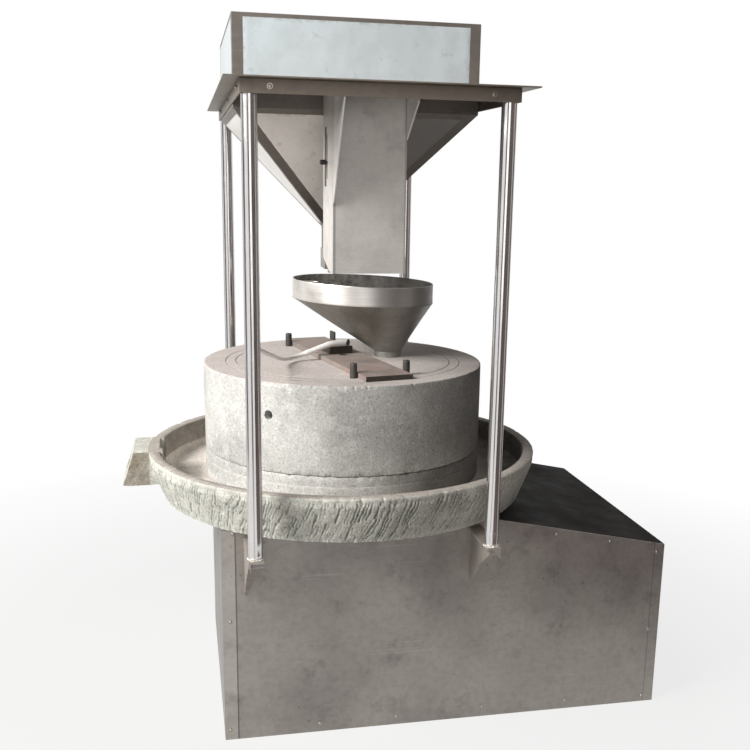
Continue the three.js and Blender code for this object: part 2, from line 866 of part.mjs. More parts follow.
function addCrossbar() {
  const half = barWidth / 2;
  const plate = block(-barLength / 2, barLength / 2, -half, half, stoneTop, barTop);
  const boss = disc(bossRadius, stoneTop - bossDepth, stoneTop + barThickness / 2);
  const screwHole = disc(screwRadius + seatGap, stoneTop - bossDepth - cutOverrun, barTop + cutOverrun);
  piece('crossbar', cut(joined(plate, boss), screwHole), rustySteel, barGroup);

  const blockEnd = blockStart + blockLength;
  const carrier = block(blockStart, blockEnd, -blockWidth / 2, blockWidth / 2, barTop, blockTop);
  piece('arm_block', carrier, darkSteel, barGroup);

  const peg = disc(pegRadius, stoneTop - pegSink, stoneTop + pegRise, rodFacets);
  for (const [name, x, y] of pegPlaces) {
    piece(name, peg, rustySteel, barGroup).position.set(x, y, 0);
  }

  const legLine = [
    [0, 0],
    [clipFoot, 0],
    [clipFoot, clipThickness],
    [clipThickness, clipThickness],
    [clipThickness, clipLeg],
    [0, clipLeg],
  ];
  const clip = piece('angle_clip', plateYZ(legLine, -clipWidth / 2, clipWidth / 2), rustySteel, barGroup);
  clip.position.set(pegAlong, -half - seatGap, stoneTop);
  clip.rotation.set(0, 0, Math.PI);
}

function addAdjustingScrew() {
  const socket = disc(screwSocket / Math.sqrt(3), barTop - screwSocketDepth, barTop + cutOverrun, 6);
  piece('adjusting_screw', cut(disc(screwRadius, shaftTop + seatGap, barTop), socket), darkSteel);
}

// A line with rounded corners through points, each corner with its own setbacks before and past it
function rounded(points, setbacks) {
  const route = new THREE.CurvePath();
  let from = points[0];
  for (let i = 1; i < points.length - 1; i += 1) {
    const corner = points[i];
    const [short, long] = setbacks[i - 1];
    const before = corner.clone().add(from.clone().sub(corner).setLength(short));
    const after = corner.clone().add(points[i + 1].clone().sub(corner).setLength(long));
    route.add(new THREE.LineCurve3(from, before));
    route.add(new THREE.QuadraticBezierCurve3(before, corner, after));
    from = after;
  }
  route.add(new THREE.LineCurve3(from, points[points.length - 1]));
  return route;
}

// A tapered tube along a nearly level curve, its first end cut aslant so that it faces the front
function taperedTube(curve, radii, wall, mitre, facets, steps) {
  const outer = [];
  const inner = [];
  for (let i = 0; i <= steps; i += 1) {
    const share = i / steps;
    const centre = curve.getPointAt(share);
    const along = curve.getTangentAt(share);
    const side = new THREE.Vector3(along.y, -along.x, 0).normalize();
    if (side.y > 0) {
      side.negate();
    }
    const up = new THREE.Vector3().crossVectors(side, along).normalize();
    const radius = radii[0] + (radii[1] - radii[0]) * share;
    const slant = i === 0 ? Math.tan(THREE.MathUtils.degToRad(mitre)) : 0;
    const ring = (size) => Array.from({ length: facets }, (_, j) => {
      const angle = (2 * Math.PI * j) / facets;
      const across = size * Math.cos(angle);
      const point = centre.clone().addScaledVector(side, across).addScaledVector(up, size * Math.sin(angle));
      return point.addScaledVector(along, (radii[0] + across) * slant);
    });
    outer.push(ring(radius));
    inner.unshift(ring(radius - wall));
  }
  return loft([...outer, ...inner], true);
}

function addTorqueArm() {
  const height = blockTop + seatGap + armTubeRadius;
  const start = new THREE.Vector3(armStartX, armStartY, height);
  const bend = new THREE.Vector3(armBendX, armBendY, height);
  const knee = new THREE.Vector3(armKneeX, armKneeY, stoneTop + armKneeRise);
  const end = new THREE.Vector3(-postX + armEndAside, -postY + postRadius + armEndGap, barTop + armEndRise);
  const towardBend = (distance) => knee.clone().add(bend.clone().sub(knee).setLength(distance));

  const tubeRoute = rounded([start, bend, towardBend(armTubeGap)], [[armBendRadius, armBendRadius]]);
  const tubeEnd = armRodRadius + seatGap + armTubeWall;
  const tube = taperedTube(tubeRoute, [armTubeRadius, tubeEnd], armTubeWall, armMitre, rodFacets, armTubeSteps);
  piece('arm_tube', tube, brightSteel);

  const rodRoute = rounded([towardBend(armTubeGap + armInsert), knee, end], [[armKneeBefore, armKneePast]]);
  piece('arm_rod', bar(rodRoute, armRodRadius, rodFacets, rodSteps), brightSteel);
}

// Stone trough: a floor ring with a collar round its hole, and on it a wall with a spout block on the
// left. The spout is flat inside and pierced by the outlet
function addBasin() {
  const edge = basinTop - basinEdgeDrop;
  const collarRadius = basinHoleRadius + collarWidth;
  const wallShare = (channelFloor - cabinetHeight) / (edge - cabinetHeight);
  const wallFootRadius = basinFootRadius + (basinRimRadius - basinFootRadius) * wallShare;
  const floor = turnedRing([
    [basinHoleRadius, cabinetHeight],
    [basinFootRadius, cabinetHeight],
    [wallFootRadius, channelFloor],
    [collarRadius, channelFloor],
    [collarRadius, channelFloor + collarRise],
    [basinHoleRadius, channelFloor + collarRise],
  ], fineFacets);
  piece('basin_floor', floor, paleStone);

  const wall = turnedRing([
    [wallFootRadius, channelFloor],
    [basinRimRadius, edge],
    [basinRimRadius, basinTop - basinRimBevel],
    [basinRimRadius - basinRimBevel, basinTop],
    [basinInnerRadius + basinRimBevel, basinTop],
    [basinInnerRadius, basinTop - basinRimBevel],
    [basinInnerRadius - channelSlope, channelFloor],
  ], fineFacets);
  const spoutFoot = basinTop - spoutDepth;
  const spoutMidY = (spoutFrontY + spoutBackY) / 2;
  const spoutHalf = (spoutBackY - spoutFrontY) / 2;
  const midX = (reach) => -(reach + spoutRootReach) / 2;
  const halfX = (reach) => (reach - spoutRootReach) / 2;
  const spout = loft([
    rectangle(midX(spoutFootReach), spoutMidY, halfX(spoutFootReach), spoutHalf + spoutFlare, spoutFoot),
    rectangle(midX(spoutTopReach), spoutMidY, halfX(spoutTopReach), spoutHalf, basinTop),
  ], false);
  const inside = disc(basinInnerRadius - channelSlope, channelFloor, basinTop + cutOverrun, fineFacets);
  const cutInner = -basinInnerRadius + basinRimWidth;
  const cutTop = basinTop + cutOverrun;
  const flat = block(-spoutFlatReach, cutInner, spoutFlatFrontY, spoutFlatBackY, channelFloor, cutTop);
  const outlet = block(
    -spoutFootReach - cutOverrun,
    cutInner,
    outletFrontY,
    outletFrontY + outletWidth,
    channelFloor,
    channelFloor + outletHeight,
  );
  piece('basin', cut(joined(wall, cut(spout, inside, floor)), flat, outlet), paleStone);
}

// The turning body: lower stone on its turntable, shaft, driven pulley and scraper
function addLowerStone() {
  const bore = shaftRadius + seatGap;
  const stone = turnedRing([
    [bore, stoneFoot],
    [stoneRadius, stoneFoot],
    [stoneRadius, grindingHeight],
    [bore, grindingHeight],
  ], fineFacets);
  piece('lower_stone', stone, greyStone);

  const hubFoot = turntableFoot - turntableHubDepth;
  const table = turnedRing([
    [bore, hubFoot],
    [turntableHubRadius, hubFoot],
    [turntableHubRadius, turntableFoot],
    [turntableRadius, turntableFoot],
    [turntableRadius, stoneFoot],
    [bore, stoneFoot],
  ]);
  piece('turntable', table, castIron);

  const shaft = turned([
    [0, shaftFoot],
    [shaftRadius, shaftFoot],
    [shaftRadius, shaftShoulder],
    [shaftNeckRadius, shaftShoulder],
    [shaftNeckRadius, shaftTop],
    [0, shaftTop],
  ]);
  piece('main_shaft', shaft, brightSteel);
}

// Folded paddle bolted to the lower stone's side, sweeping the channel
function addScraper() {
  const root = stoneRadius + seatGap;
  const tip = basinInnerRadius - channelSlope - scraperSideGap;
  const foot = channelFloor + scraperFootGap;
  const top = foot + scraperHeight;
  const mountLow = Math.max(stoneFoot, foot);
  const half = scraperThickness / 2;
  const blade = joined(
    block(root, tip, -half, half, foot, top),
    block(root, root + scraperThickness, -half, scraperFlangeLength, mountLow, top),
  );
  const scraper = piece('scraper', blade, brightSteel);
  scraper.rotation.set(0, 0, THREE.MathUtils.degToRad(scraperAngle));
}

// Flat-belt pulley about its own Z axis, from the belt's height span
function pulleyShape(boreRadius, seatRadius, hubRadius) {
  const low = -beltWidth / 2 - seatGap;
  const high = beltWidth / 2 + seatGap;
  const rim = seatRadius + pulleyFlangeRise;
  return turnedRing([
    [boreRadius, low - pulleyFlangeThickness],
    [rim, low - pulleyFlangeThickness],
    [rim, low],
    [seatRadius, low],
    [seatRadius, high],
    [rim, high],
    [rim, high + pulleyFlangeThickness],
    [hubRadius, high + pulleyFlangeThickness],
    [hubRadius, high + pulleyFlangeThickness + pulleyHubRise],
    [boreRadius, high + pulleyFlangeThickness + pulleyHubRise],
  ], funnelFacets);
}

// Loop of belt round both pulleys: two arcs and two straight runs
function beltLine(offset) {
  const large = drivenSeatRadius + seatGap + offset;
  const small = motorSeatRadius + seatGap + offset;
  const lean = Math.asin((large - small) / motorAxisX);
  const path = new THREE.Path();
  path.absarc(motorAxisX, 0, small, -Math.PI / 2 + lean, Math.PI / 2 - lean);
  path.absarc(0, 0, large, Math.PI / 2 - lean, (3 * Math.PI) / 2 + lean);
  return path.getPoints(funnelFacets / 2).map((point) => [point.x, point.y]);
}

function addDrive() {
  const driven = pulleyShape(shaftRadius + seatGap, drivenSeatRadius, drivenHubRadius);
  piece('driven_pulley', driven, castIron).position.set(0, 0, beltMidHeight);

  const gearHub = motorSeatRadius - pulleyFlangeRise;
  const driver = pulleyShape(gearShaftRadius + seatGap, motorSeatRadius, gearHub);
  piece('motor_pulley', driver, castIron).position.set(motorAxisX, 0, beltMidHeight);
  const shaftLow = gearboxTop + seatGap;
  const output = disc(gearShaftRadius, shaftLow, shaftLow + gearShaftLength).translate(motorAxisX, 0, 0);
  piece('gearbox_shaft', output, brightSteel);

  const beltLow = beltMidHeight - beltWidth / 2;
  const band = outline(beltLine(beltThickness));
  band.holes.push(new THREE.Path(beltLine(0).map(([u, v]) => new THREE.Vector2(u, v))));
  const loop = new THREE.ExtrudeGeometry(band, { depth: beltWidth, bevelEnabled: false });
  piece('drive_belt', facingOut(loop.translate(0, 0, beltLow)), blackRubber);

  const mount = block(
    motorAxisX - mountPlateLength / 2,
    motorAxisX + mountPlateLength / 2,
    -mountPlateWidth / 2,
    mountPlateWidth / 2,
    basePlateThickness,
    mountPlateTop,
  );
  piece('motor_mount', mount, frameSteel);

  const halfLength = gearboxLength / 2;
  const halfWidth = gearboxWidth / 2;
  const left = motorAxisX - halfLength;
  const right = motorAxisX + halfLength;
  piece('gearbox', block(left, right, -halfWidth, halfWidth, mountPlateTop, gearboxTop), bluePaint);

  const motorMidZ = mountPlateTop + gearboxHeight / 2 + motorFlangeThickness;
  const motor = turned([
    [0, 0],
    [motorFlangeRadius, 0],
    [motorFlangeRadius, motorFlangeThickness],
    [motorRadius, motorFlangeThickness],
    [motorRadius, motorLength],
    [0, motorLength],
  ]);
  const body = piece('drive_motor', motor, bluePaint);
  body.position.set(motorAxisX, halfWidth, motorMidZ);
  body.rotation.set(-Math.PI / 2, 0, 0);

  const cap = piece('motor_fan_cover', disc(fanCoverRadius, 0, fanCoverLength), darkSteel);
  cap.position.set(motorAxisX, halfWidth + motorLength, motorMidZ);
  cap.rotation.set(-Math.PI / 2, 0, 0);

  const boxMidY = halfWidth + motorLength / 2;
  const boxLow = motorMidZ + motorRadius;
  const boxHalf = terminalBoxWidth / 2;
  const terminal = block(
    motorAxisX - boxHalf,
    motorAxisX + boxHalf,
    boxMidY - terminalBoxLength / 2,
    boxMidY + terminalBoxLength / 2,
    boxLow,
    boxLow + terminalBoxHeight,
  );
  piece('terminal_box', terminal, darkSteel);
}

function addBearings() {
  const bore = shaftRadius + seatGap;
  const upperFoot = topPlateFoot - upperBearingDepth;
  const upper = turnedRing([
    [bore, upperFoot],
    [upperBearingBarrelRadius, upperFoot],
    [upperBearingBarrelRadius, topPlateFoot - upperBearingFlange],
    [upperBearingRadius, topPlateFoot - upperBearingFlange],
    [upperBearingRadius, topPlateFoot],
    [bore, topPlateFoot],
  ]);
  piece('upper_bearing', upper, castIron);

  const floor = basePlateThickness;
  const lower = turned([
    [0, floor],
    [lowerBearingRadius, floor],
    [lowerBearingRadius, floor + lowerBearingFlange],
    [lowerBearingBarrelRadius, floor + lowerBearingFlange],
    [lowerBearingBarrelRadius, floor + lowerBearingHeight],
    [bore, floor + lowerBearingHeight],
    [bore, shaftFoot - seatGap],
    [0, shaftFoot - seatGap],
  ]);
  piece('foot_bearing', lower, castIron);
}

addCabinet();
addUprights();
addPostsAndBrackets();
addTopFrame();
addHopper();
addGateHousing();
addGussets();
addFeedGate();
addFunnel();
addUpperStone();
addCrossbar();
addAdjustingScrew();
addTorqueArm();
addBasin();
addLowerStone();
addScraper();
addDrive();
addBearings();

export default mill;
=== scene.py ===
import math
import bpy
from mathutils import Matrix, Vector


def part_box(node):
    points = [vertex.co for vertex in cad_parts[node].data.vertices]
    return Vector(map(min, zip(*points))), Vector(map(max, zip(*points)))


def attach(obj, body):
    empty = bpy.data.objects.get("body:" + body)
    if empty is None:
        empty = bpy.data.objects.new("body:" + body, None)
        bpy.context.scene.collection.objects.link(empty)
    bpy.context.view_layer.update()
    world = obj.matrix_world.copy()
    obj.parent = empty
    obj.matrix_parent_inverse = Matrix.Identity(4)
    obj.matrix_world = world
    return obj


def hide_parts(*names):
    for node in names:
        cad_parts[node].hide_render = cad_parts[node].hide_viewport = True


bl_info = {
    "name": "Stone Mill Dresser",
    "version": (1, 0, 0),
    "blender": (4, 5, 0),
    "location": "View3D > Sidebar > Stone Mill",
    "description": "Dresses the packed frame of an electric stone mill for nut butter",
    "category": "Add Mesh",
}

import bmesh
import bpy
import numpy as np
from mathutils import Matrix, Vector, noise

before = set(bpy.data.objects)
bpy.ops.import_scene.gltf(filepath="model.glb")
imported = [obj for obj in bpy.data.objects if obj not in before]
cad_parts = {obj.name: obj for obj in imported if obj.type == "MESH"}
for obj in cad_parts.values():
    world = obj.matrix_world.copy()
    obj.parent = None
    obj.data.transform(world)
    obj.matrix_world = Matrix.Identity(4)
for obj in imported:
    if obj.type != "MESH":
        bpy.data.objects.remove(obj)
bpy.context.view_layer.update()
MM = 0.001
# Degrees past which an edge stays sharp, where a piece gives no angle of its own.
SHARP = 35.0
CORNERS = ("front_left", "front_right", "rear_left", "rear_right")
PEGS = ("peg_front_left", "peg_front_right", "peg_rear_left")
# Middle of the feed hole in the upper stone, in millimetres.
FEED_EYE = (124.0, 42.0)


def corners(node):
    """Lowest and highest corner of a CAD node, in millimetres."""
    low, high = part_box(node)
    return [c / MM for c in low], [c / MM for c in high]


def middle(node):
    """Middle of a CAD node, in millimetres."""
    low, high = corners(node)
    return [(a + b) / 2 for a, b in zip(low, high)]


def span(node):
    """Lowest and highest Z of a CAD node, in millimetres."""
    low, high = corners(node)
    return low[2], high[2]


# ---------------------------------------------------------------- colours and node materials


def tone(code):
    """Linear colour of a six-digit sRGB code."""
    parts = [int(code[i : i + 2], 16) / 255 for i in (0, 2, 4)]
    return tuple(c / 12.92 if c <= 0.04045 else ((c + 0.055) / 1.055) ** 2.4 for c in parts)


def shade(colour, factor):
    """A colour made darker or paler by a factor."""
    return tuple(min(1.0, c * factor) for c in colour[:3])


class Tree:
    """A node tree under construction."""

    def __init__(self, tree):
        self.nodes, self.links = tree.nodes, tree.links

    def put(self, socket, value):
        """Gives a socket its value, or links it where the value is a socket too."""
        if isinstance(value, bpy.types.NodeSocket):
            self.links.new(value, socket)
        else:
            socket.default_value = value

    def add(self, kind, sockets=None, **settings):
        """A new node with its settings and its sockets' values or links."""
        node = self.nodes.new(kind)
        for name, value in settings.items():
            setattr(node, name, value)
        for key, value in (sockets or {}).items():
            self.put(node.inputs[key], value)
        return node

    def math(self, operation, first, second=0.0):
        return self.add("ShaderNodeMath", {0: first, 1: second}, operation=operation).outputs[0]


class Finish(Tree):
    """A node material with one Principled shader, whose colour is laid on coat by coat."""

    def __init__(self, name, colour, **fixed):
        self.material = bpy.data.materials.new(name)
        self.material.use_nodes = True
        super().__init__(self.material.node_tree)
        self.colour = self.body = colour
        self.shader = self.nodes["Principled BSDF"]
        for socket, value in fixed.items():
            self.shader.inputs[socket.replace("_", " ")].default_value = value
        self.place = self.add("ShaderNodeTexCoord").outputs["Object"]

    # patterns on the object's own coordinates

    def mapped(self, stretch=(1, 1, 1), turn=(0, 0, 0), shift=(0, 0, 0)):
        sockets = {"Vector": self.place, "Scale": stretch, "Rotation": turn, "Location": shift}
        return self.add("ShaderNodeMapping", sockets).outputs["Vector"]

    def noise(self, scale, detail=3.0, rough=0.55, **mapping):
        sockets = {"Vector": self.mapped(**mapping), "Scale": scale, "Detail": detail, "Roughness": rough}
        return self.add("ShaderNodeTexNoise", sockets).outputs["Fac"]

    def patches(self, scale, detail, rough, shift, low, high, share=1.0):
        """Noise raised from nothing at one level to its full share at another."""
        return self.level(self.noise(scale, detail, rough, shift=shift), low, high, 0, share)

    def specks(self, scale, shift, low, high, share):
        """Round specks at the points of a cell pattern."""
        sockets = {"Vector": self.mapped(shift=shift), "Scale": scale}
        cells = self.add("ShaderNodeTexVoronoi", sockets).outputs["Distance"]
        return self.level(cells, low, high, share, 0)

    def across(self, axis, turn=None):
        """Place along an axis in metres, after a turn where one is given."""
        place = self.mapped(turn=turn) if turn else self.place
        return self.add("ShaderNodeSeparateXYZ", {"Vector": place}).outputs[axis]

    def distance(self, axes=(1, 1, 1)):
        """Distance from the origin, over some of the axes."""
        flat = self.add("ShaderNodeVectorMath", {0: self.place, 1: axes}, operation="MULTIPLY").outputs[0]
        return self.add("ShaderNodeVectorMath", {0: flat}, operation="LENGTH").outputs["Value"]

    def attribute(self, name):
        return self.add("ShaderNodeAttribute", attribute_name=name).outputs["Fac"]

    # arithmetic

    def level(self, source, low, high, to_low=0.0, to_high=1.0):
        """A source's range from low to high, mapped to another range and held at its ends."""
        sockets = {0: source, 1: low, 2: high, 3: to_low, 4: to_high}
        return self.add("ShaderNodeMapRange", sockets).outputs[0]

    def product(self, first, *others):
        for factor in others:
            first = self.math("MULTIPLY", first, factor)
        return first

    def ramp(self, factor, *stops):
        node = self.add("ShaderNodeValToRGB", {"Fac": factor})
        elements = node.color_ramp.elements
        for index, (position, colour) in enumerate(stops):
            element = elements[index] if index < 2 else elements.new(position)
            element.position = position
            element.color = (*colour[:3], 1.0)
        return node.outputs["Color"]

    def shades(self, source, *stops, of=None):
        """Shades of the finish's colour, or of another, at levels of a source."""
        return self.ramp(source, *((level, shade(of or self.colour, factor)) for level, factor in stops))

    # colour, coat by coat

    def coat(self, factor, over, mode="MIX"):
        """Lays a colour over what is there. A number is a shade of the finish's own colour."""
        over = shade(self.colour, over) if isinstance(over, float) else over
        node = self.add("ShaderNodeMix", {0: factor}, data_type="RGBA", blend_type=mode)
        for index, value in ((6, self.body), (7, over)):
            known = isinstance(value, bpy.types.NodeSocket)
            self.put(node.inputs[index], value if known else (*value[:3], 1.0))
        self.body = node.outputs[2]

    def grain(self, factor, source, low, high, dark=0.5):
        """Darkens what is there by a source, from a grey at its low level to nothing at its high one."""
        self.coat(factor, self.ramp(source, (low, (dark,) * 3), (high, (1, 1, 1))), "MULTIPLY")

    # the shader's sockets

    def set(self, socket, source):
        self.links.new(source, self.shader.inputs[socket])

    def gloss(self, source, low, high):
        """Roughness from low to high over the middle of a source."""
        self.set("Roughness", self.level(source, 0.3, 0.7, low, high))

    def bump(self, height, strength, distance):
        sockets = {"Height": height, "Strength": strength, "Distance": distance}
        if self.shader.inputs["Normal"].is_linked:
            sockets["Normal"] = self.shader.inputs["Normal"].links[0].from_socket
        self.set("Normal", self.add("ShaderNodeBump", sockets).outputs["Normal"])

    def done(self):
        """Gives the shader its colour and hands over the material."""
        self.set("Base Color", self.body)
        return self.material


def sheet_steel(
    name, colour, metallic=0.85, roughness=0.42, brush=(1, 1, 60), grime=0.5, spots=0.6,
    dull_side=None, seams=(),
):
    """Used sheet steel: cloudy colour, brush lines, scratches, dark smudges and specks, dark seams, and
    painted shade on a face left of a given place along X.
    """
    finish = Finish(name, colour, Metallic=metallic, IOR=2.0)
    clouds = finish.noise(5.0, 4)
    finish.body = finish.shades(clouds, (0.32, 0.78), (0.5, 1.0), (0.68, 1.14))
    finish.coat(finish.patches(2.6, 6, 0.68, (6, 2, 4), 0.46, 0.66, 0.45 * grime), 0.62)
    finish.grain(0.45 * grime, finish.noise(62.0, 5, 0.72, shift=(7, 3, 5)), 0.36, 0.56, 0.6)
    lines = finish.noise(14.0, 4, 0.7, stretch=brush)
    finish.grain(0.3, lines, 0.25, 0.75, 0.62)
    finish.coat(finish.patches(11.0, 6, 0.68, (3, 1, 7), 0.56, 0.72, grime), 0.42)
    for turn, shift in ((0.35, (1, 5, 3)), (-0.6, (4, 0, 9))):
        thin = finish.noise(3.0, 3, 0.5, stretch=(1, 1, 42), turn=(0, turn, 0), shift=shift)
        scratch = finish.level(thin, 0.64, 0.66, 0, 0.22)
        finish.coat(finish.product(scratch, finish.patches(5.0, 2, 0.55, shift, 0.56, 0.62)), 1.35)
    specks = finish.specks(34.0, (5, 2, 1), 0.05, 0.11, spots)
    finish.coat(finish.product(specks, finish.patches(7.0, 2, 0.55, (9, 4, 2), 0.52, 0.6)), 0.25)
    for axis, place, reach, share in seams:
        off = finish.math("ABSOLUTE", finish.math("SUBTRACT", finish.across(axis), place))
        finish.coat(finish.level(off, reach * 0.4, reach, share, 0), 0.2)
    nicks = finish.specks(85.0, (4, 9, 6), 0.05, 0.09, 0.8 * grime)
    finish.coat(finish.product(nicks, finish.patches(9.0, 3, 0.6, (2, 8, 8), 0.5, 0.6)), 0.22)
    # Painted shade on the left face, which faces the light.
    if dull_side is not None:
        finish.coat(finish.level(finish.across("X"), dull_side, dull_side - 0.0006), 0.55)
    cloudy = finish.level(clouds, 0.3, 0.7, roughness - 0.07, roughness + 0.1)
    finish.set("Roughness", finish.math("ADD", cloudy, finish.level(lines, 0.3, 0.7, -0.04, 0.05)))
    finish.bump(lines, 0.12, 0.0004)
    finish.bump(finish.noise(3.2, 1), 0.35, 0.006)
    return finish.done()


def bright_steel(name, colour, roughness=0.12, streak=(60, 60, 1), metallic=1.0, dull_from=None):
    """Polished or chromed steel with fine draw lines and light stains, painted shade where it is marked as
    inside, and painted shade growing along X past a given place.
    """
    finish = Finish(name, colour, Metallic=metallic)
    lines = finish.noise(9.0, 4, 0.65, stretch=streak)
    stains = finish.noise(16.0, 4, 0.6)
    finish.body = finish.shades(lines, (0.25, 0.82), (0.7, 1.0))
    finish.coat(finish.level(stains, 0.58, 0.75, 0, 0.35), 0.6)
    # Painted shade, standing in for dark reflections, growing towards the right past a place along X.
    if dull_from is not None:
        x = finish.across("X")
        finish.coat(finish.level(x, dull_from, dull_from + 0.06, 0, 0.6), 0.34)
        finish.coat(finish.level(x, dull_from + 0.12, dull_from + 0.2, 0, 0.8), 0.16)
    # Painted shade inside the arm's bore and on the hoop's inner face, mottled.
    inner_shade = finish.level(finish.noise(34.0, 6, 0.72, shift=(2, 9, 5)), 0.4, 0.6, 0.45, 0.9)
    finish.coat(finish.product(finish.attribute("inside"), inner_shade), 0.16)
    low = finish.level(stains, 0.4, 0.75, roughness, roughness + 0.16)
    finish.set("Roughness", finish.math("ADD", low, finish.level(lines, 0.3, 0.8, 0, 0.06)))
    finish.bump(lines, 0.06, 0.0003)
    return finish.done()


def dark_sheet(name, colour, roughness=0.5, metallic=0.7, mirror=0.5):
    """Oxidised or smoked steel with cloudy lighter patches and a fine grain."""
    finish = Finish(name, colour, Metallic=metallic, Specular_IOR_Level=mirror)
    clouds = finish.noise(9.0, 6, 0.62)
    grain = finish.noise(120.0, 3, 0.6)
    finish.body = finish.shades(clouds, (0.3, 0.7), (0.5, 1.0), (0.75, 1.45))
    finish.grain(0.35, grain, 0.3, 0.7)
    finish.gloss(clouds, roughness - 0.12, roughness + 0.15)
    finish.bump(grain, 0.1, 0.0004)
    finish.bump(finish.noise(7.0, 2), 0.3, 0.003)
    return finish.done()


def rusty_plate(name, colour, rust):
    """Mill-scaled flat bar with rust where it is handled, and a dark cut end."""
    bar_turn, cut_end = (0, 0, math.radians(-101.8)), -0.2996
    finish = Finish(name, colour, Metallic=0.35)
    clouds = finish.noise(18.0, 6, 0.65)
    fine = finish.noise(150.0, 4, 0.6)
    finish.body = finish.shades(clouds, (0.3, 0.8), (0.55, 1.0), (0.8, 1.15))
    finish.coat(finish.patches(30.0, 5, 0.7, (4, 2, 0), 0.54, 0.66, 0.75), rust)
    finish.grain(0.3, fine, 0.3, 0.7)
    finish.coat(finish.level(finish.across("X", bar_turn), cut_end, cut_end + 0.0021, 0.85, 0), 0.08)
    finish.gloss(clouds, 0.6, 0.85)
    finish.bump(fine, 0.25, 0.0006)
    return finish.done()


def trough_coats(finish, reach, inside, spout_shade):
    """Channel and inner wall of the basin: a pale channel floor that is painted light, painted shade on the
    inner wall, a painted shadow on the floor at the right, a spill, and painted shade on the spout's front
    face.
    """
    x, y, z = (finish.across(axis) for axis in "XYZ")
    bore = finish.level(reach, 0.4662, 0.4648)
    floor = finish.level(z, 0.5535, 0.5545)
    # The channel floor's pale colour is painted light, against the shadow that the rim casts on it.
    worn = finish.shades(finish.noise(17.0, 5, 0.65, shift=(3, 3, 3)), (0.3, 0.86), (0.7, 1.08), of=inside)
    finish.coat(finish.product(bore, floor), worn)
    mottled = finish.level(finish.noise(21.0, 5, 0.66, shift=(4, 1, 7)), 0.3, 0.7, 0.72, 1.0)
    # Painted shade on the inner wall, which faces away from the light.
    wall = (finish.level(reach, 0.4555, 0.4625), bore, finish.level(z, 0.570, 0.575), mottled, 0.85)
    finish.coat(finish.product(*wall), shade(inside, 0.2))
    ahead, behind = finish.level(y, -0.08, -0.03), finish.level(y, 0.12, 0.06)
    left, near = finish.level(x, -0.342, -0.365), finish.level(reach, 0.44, 0.41)
    finish.coat(finish.product(ahead, behind, left, near, mottled, 0.8), shade(inside, 0.24))
    # Painted shadow of the stone on the channel floor at the right.
    finish.coat(finish.product(finish.level(x, 0.3, 0.39), bore, floor, mottled, 0.88), shade(inside, 0.12))
    # Painted shade on the spout's front face.
    cloudy = finish.level(finish.noise(38.0, 4, 0.6, shift=(1, 2, 9)), 0.3, 0.7, 0.55, 1.0)
    front = (finish.level(y, -0.040, -0.045), finish.level(x, -0.486, -0.491), cloudy)
    finish.coat(finish.product(*front), spout_shade)


def stone_finish(name, colour, top, cut_tone, inside=None, spout_shade=None, rim_height=0.0, rough=0.0016):
    """Cut stone: blotches, pale and dark grains, pits, a warmer dusty upper face, painted shade on its right
    side and painted shade in grooves and holes.
    """
    rim_reach = 0.4922
    finish = Finish(name, colour, Roughness=0.92, Specular_IOR_Level=0.25)
    grains = finish.noise(210.0, 3, 0.65)
    finish.body = finish.shades(finish.noise(7.0, 5, 0.6), (0.3, 0.78), (0.5, 1.0), (0.7, 1.12))
    finish.coat(finish.patches(34.0, 6, 0.72, (2, 5, 1), 0.53, 0.66, 0.75), 1.32)
    finish.coat(finish.patches(15.0, 4, 0.62, (5, 8, 2), 0.55, 0.66, 0.5), 1.3)
    finish.coat(finish.patches(19.0, 6, 0.7, (8, 3, 6), 0.56, 0.7, 0.5), 0.68)
    finish.coat(finish.level(finish.attribute("cut"), 0.15, 0.9, 0, 0.6), cut_tone)
    # Painted shade on the stones' right side, away from the light.
    finish.coat(finish.level(finish.attribute("damp"), 0.0, 1.0, 0, 0.9), 0.22)
    reach = finish.distance((1, 1, 0))
    if inside is not None:
        trough_coats(finish, reach, inside, spout_shade)
    upper = finish.level(finish.across("Z"), rim_height - 0.0018, rim_height - 0.0006)
    upper = finish.product(upper, finish.level(reach, rim_reach, rim_reach - 0.001))
    finish.coat(upper, finish.shades(finish.noise(13.0, 5, 0.6), (0.3, 0.9), (0.7, 1.06), of=top))
    # Painted shade in chisel grooves, holes and scribed circles.
    finish.coat(finish.level(finish.attribute("score"), 0.1, 0.8, 0, 0.88), 0.3)
    finish.grain(0.65, grains, 0.32, 0.6)
    pits = finish.specks(95.0, (0, 0, 0), 0.08, 0.22, 0.75)
    finish.coat(finish.product(pits, finish.patches(24.0, 4, 0.7, (6, 0, 3), 0.47, 0.58)), 0.22)
    finish.bump(grains, 0.45, 0.0008)
    finish.bump(finish.noise(60.0, 5, 0.7), 0.5, rough)
    return finish.done()


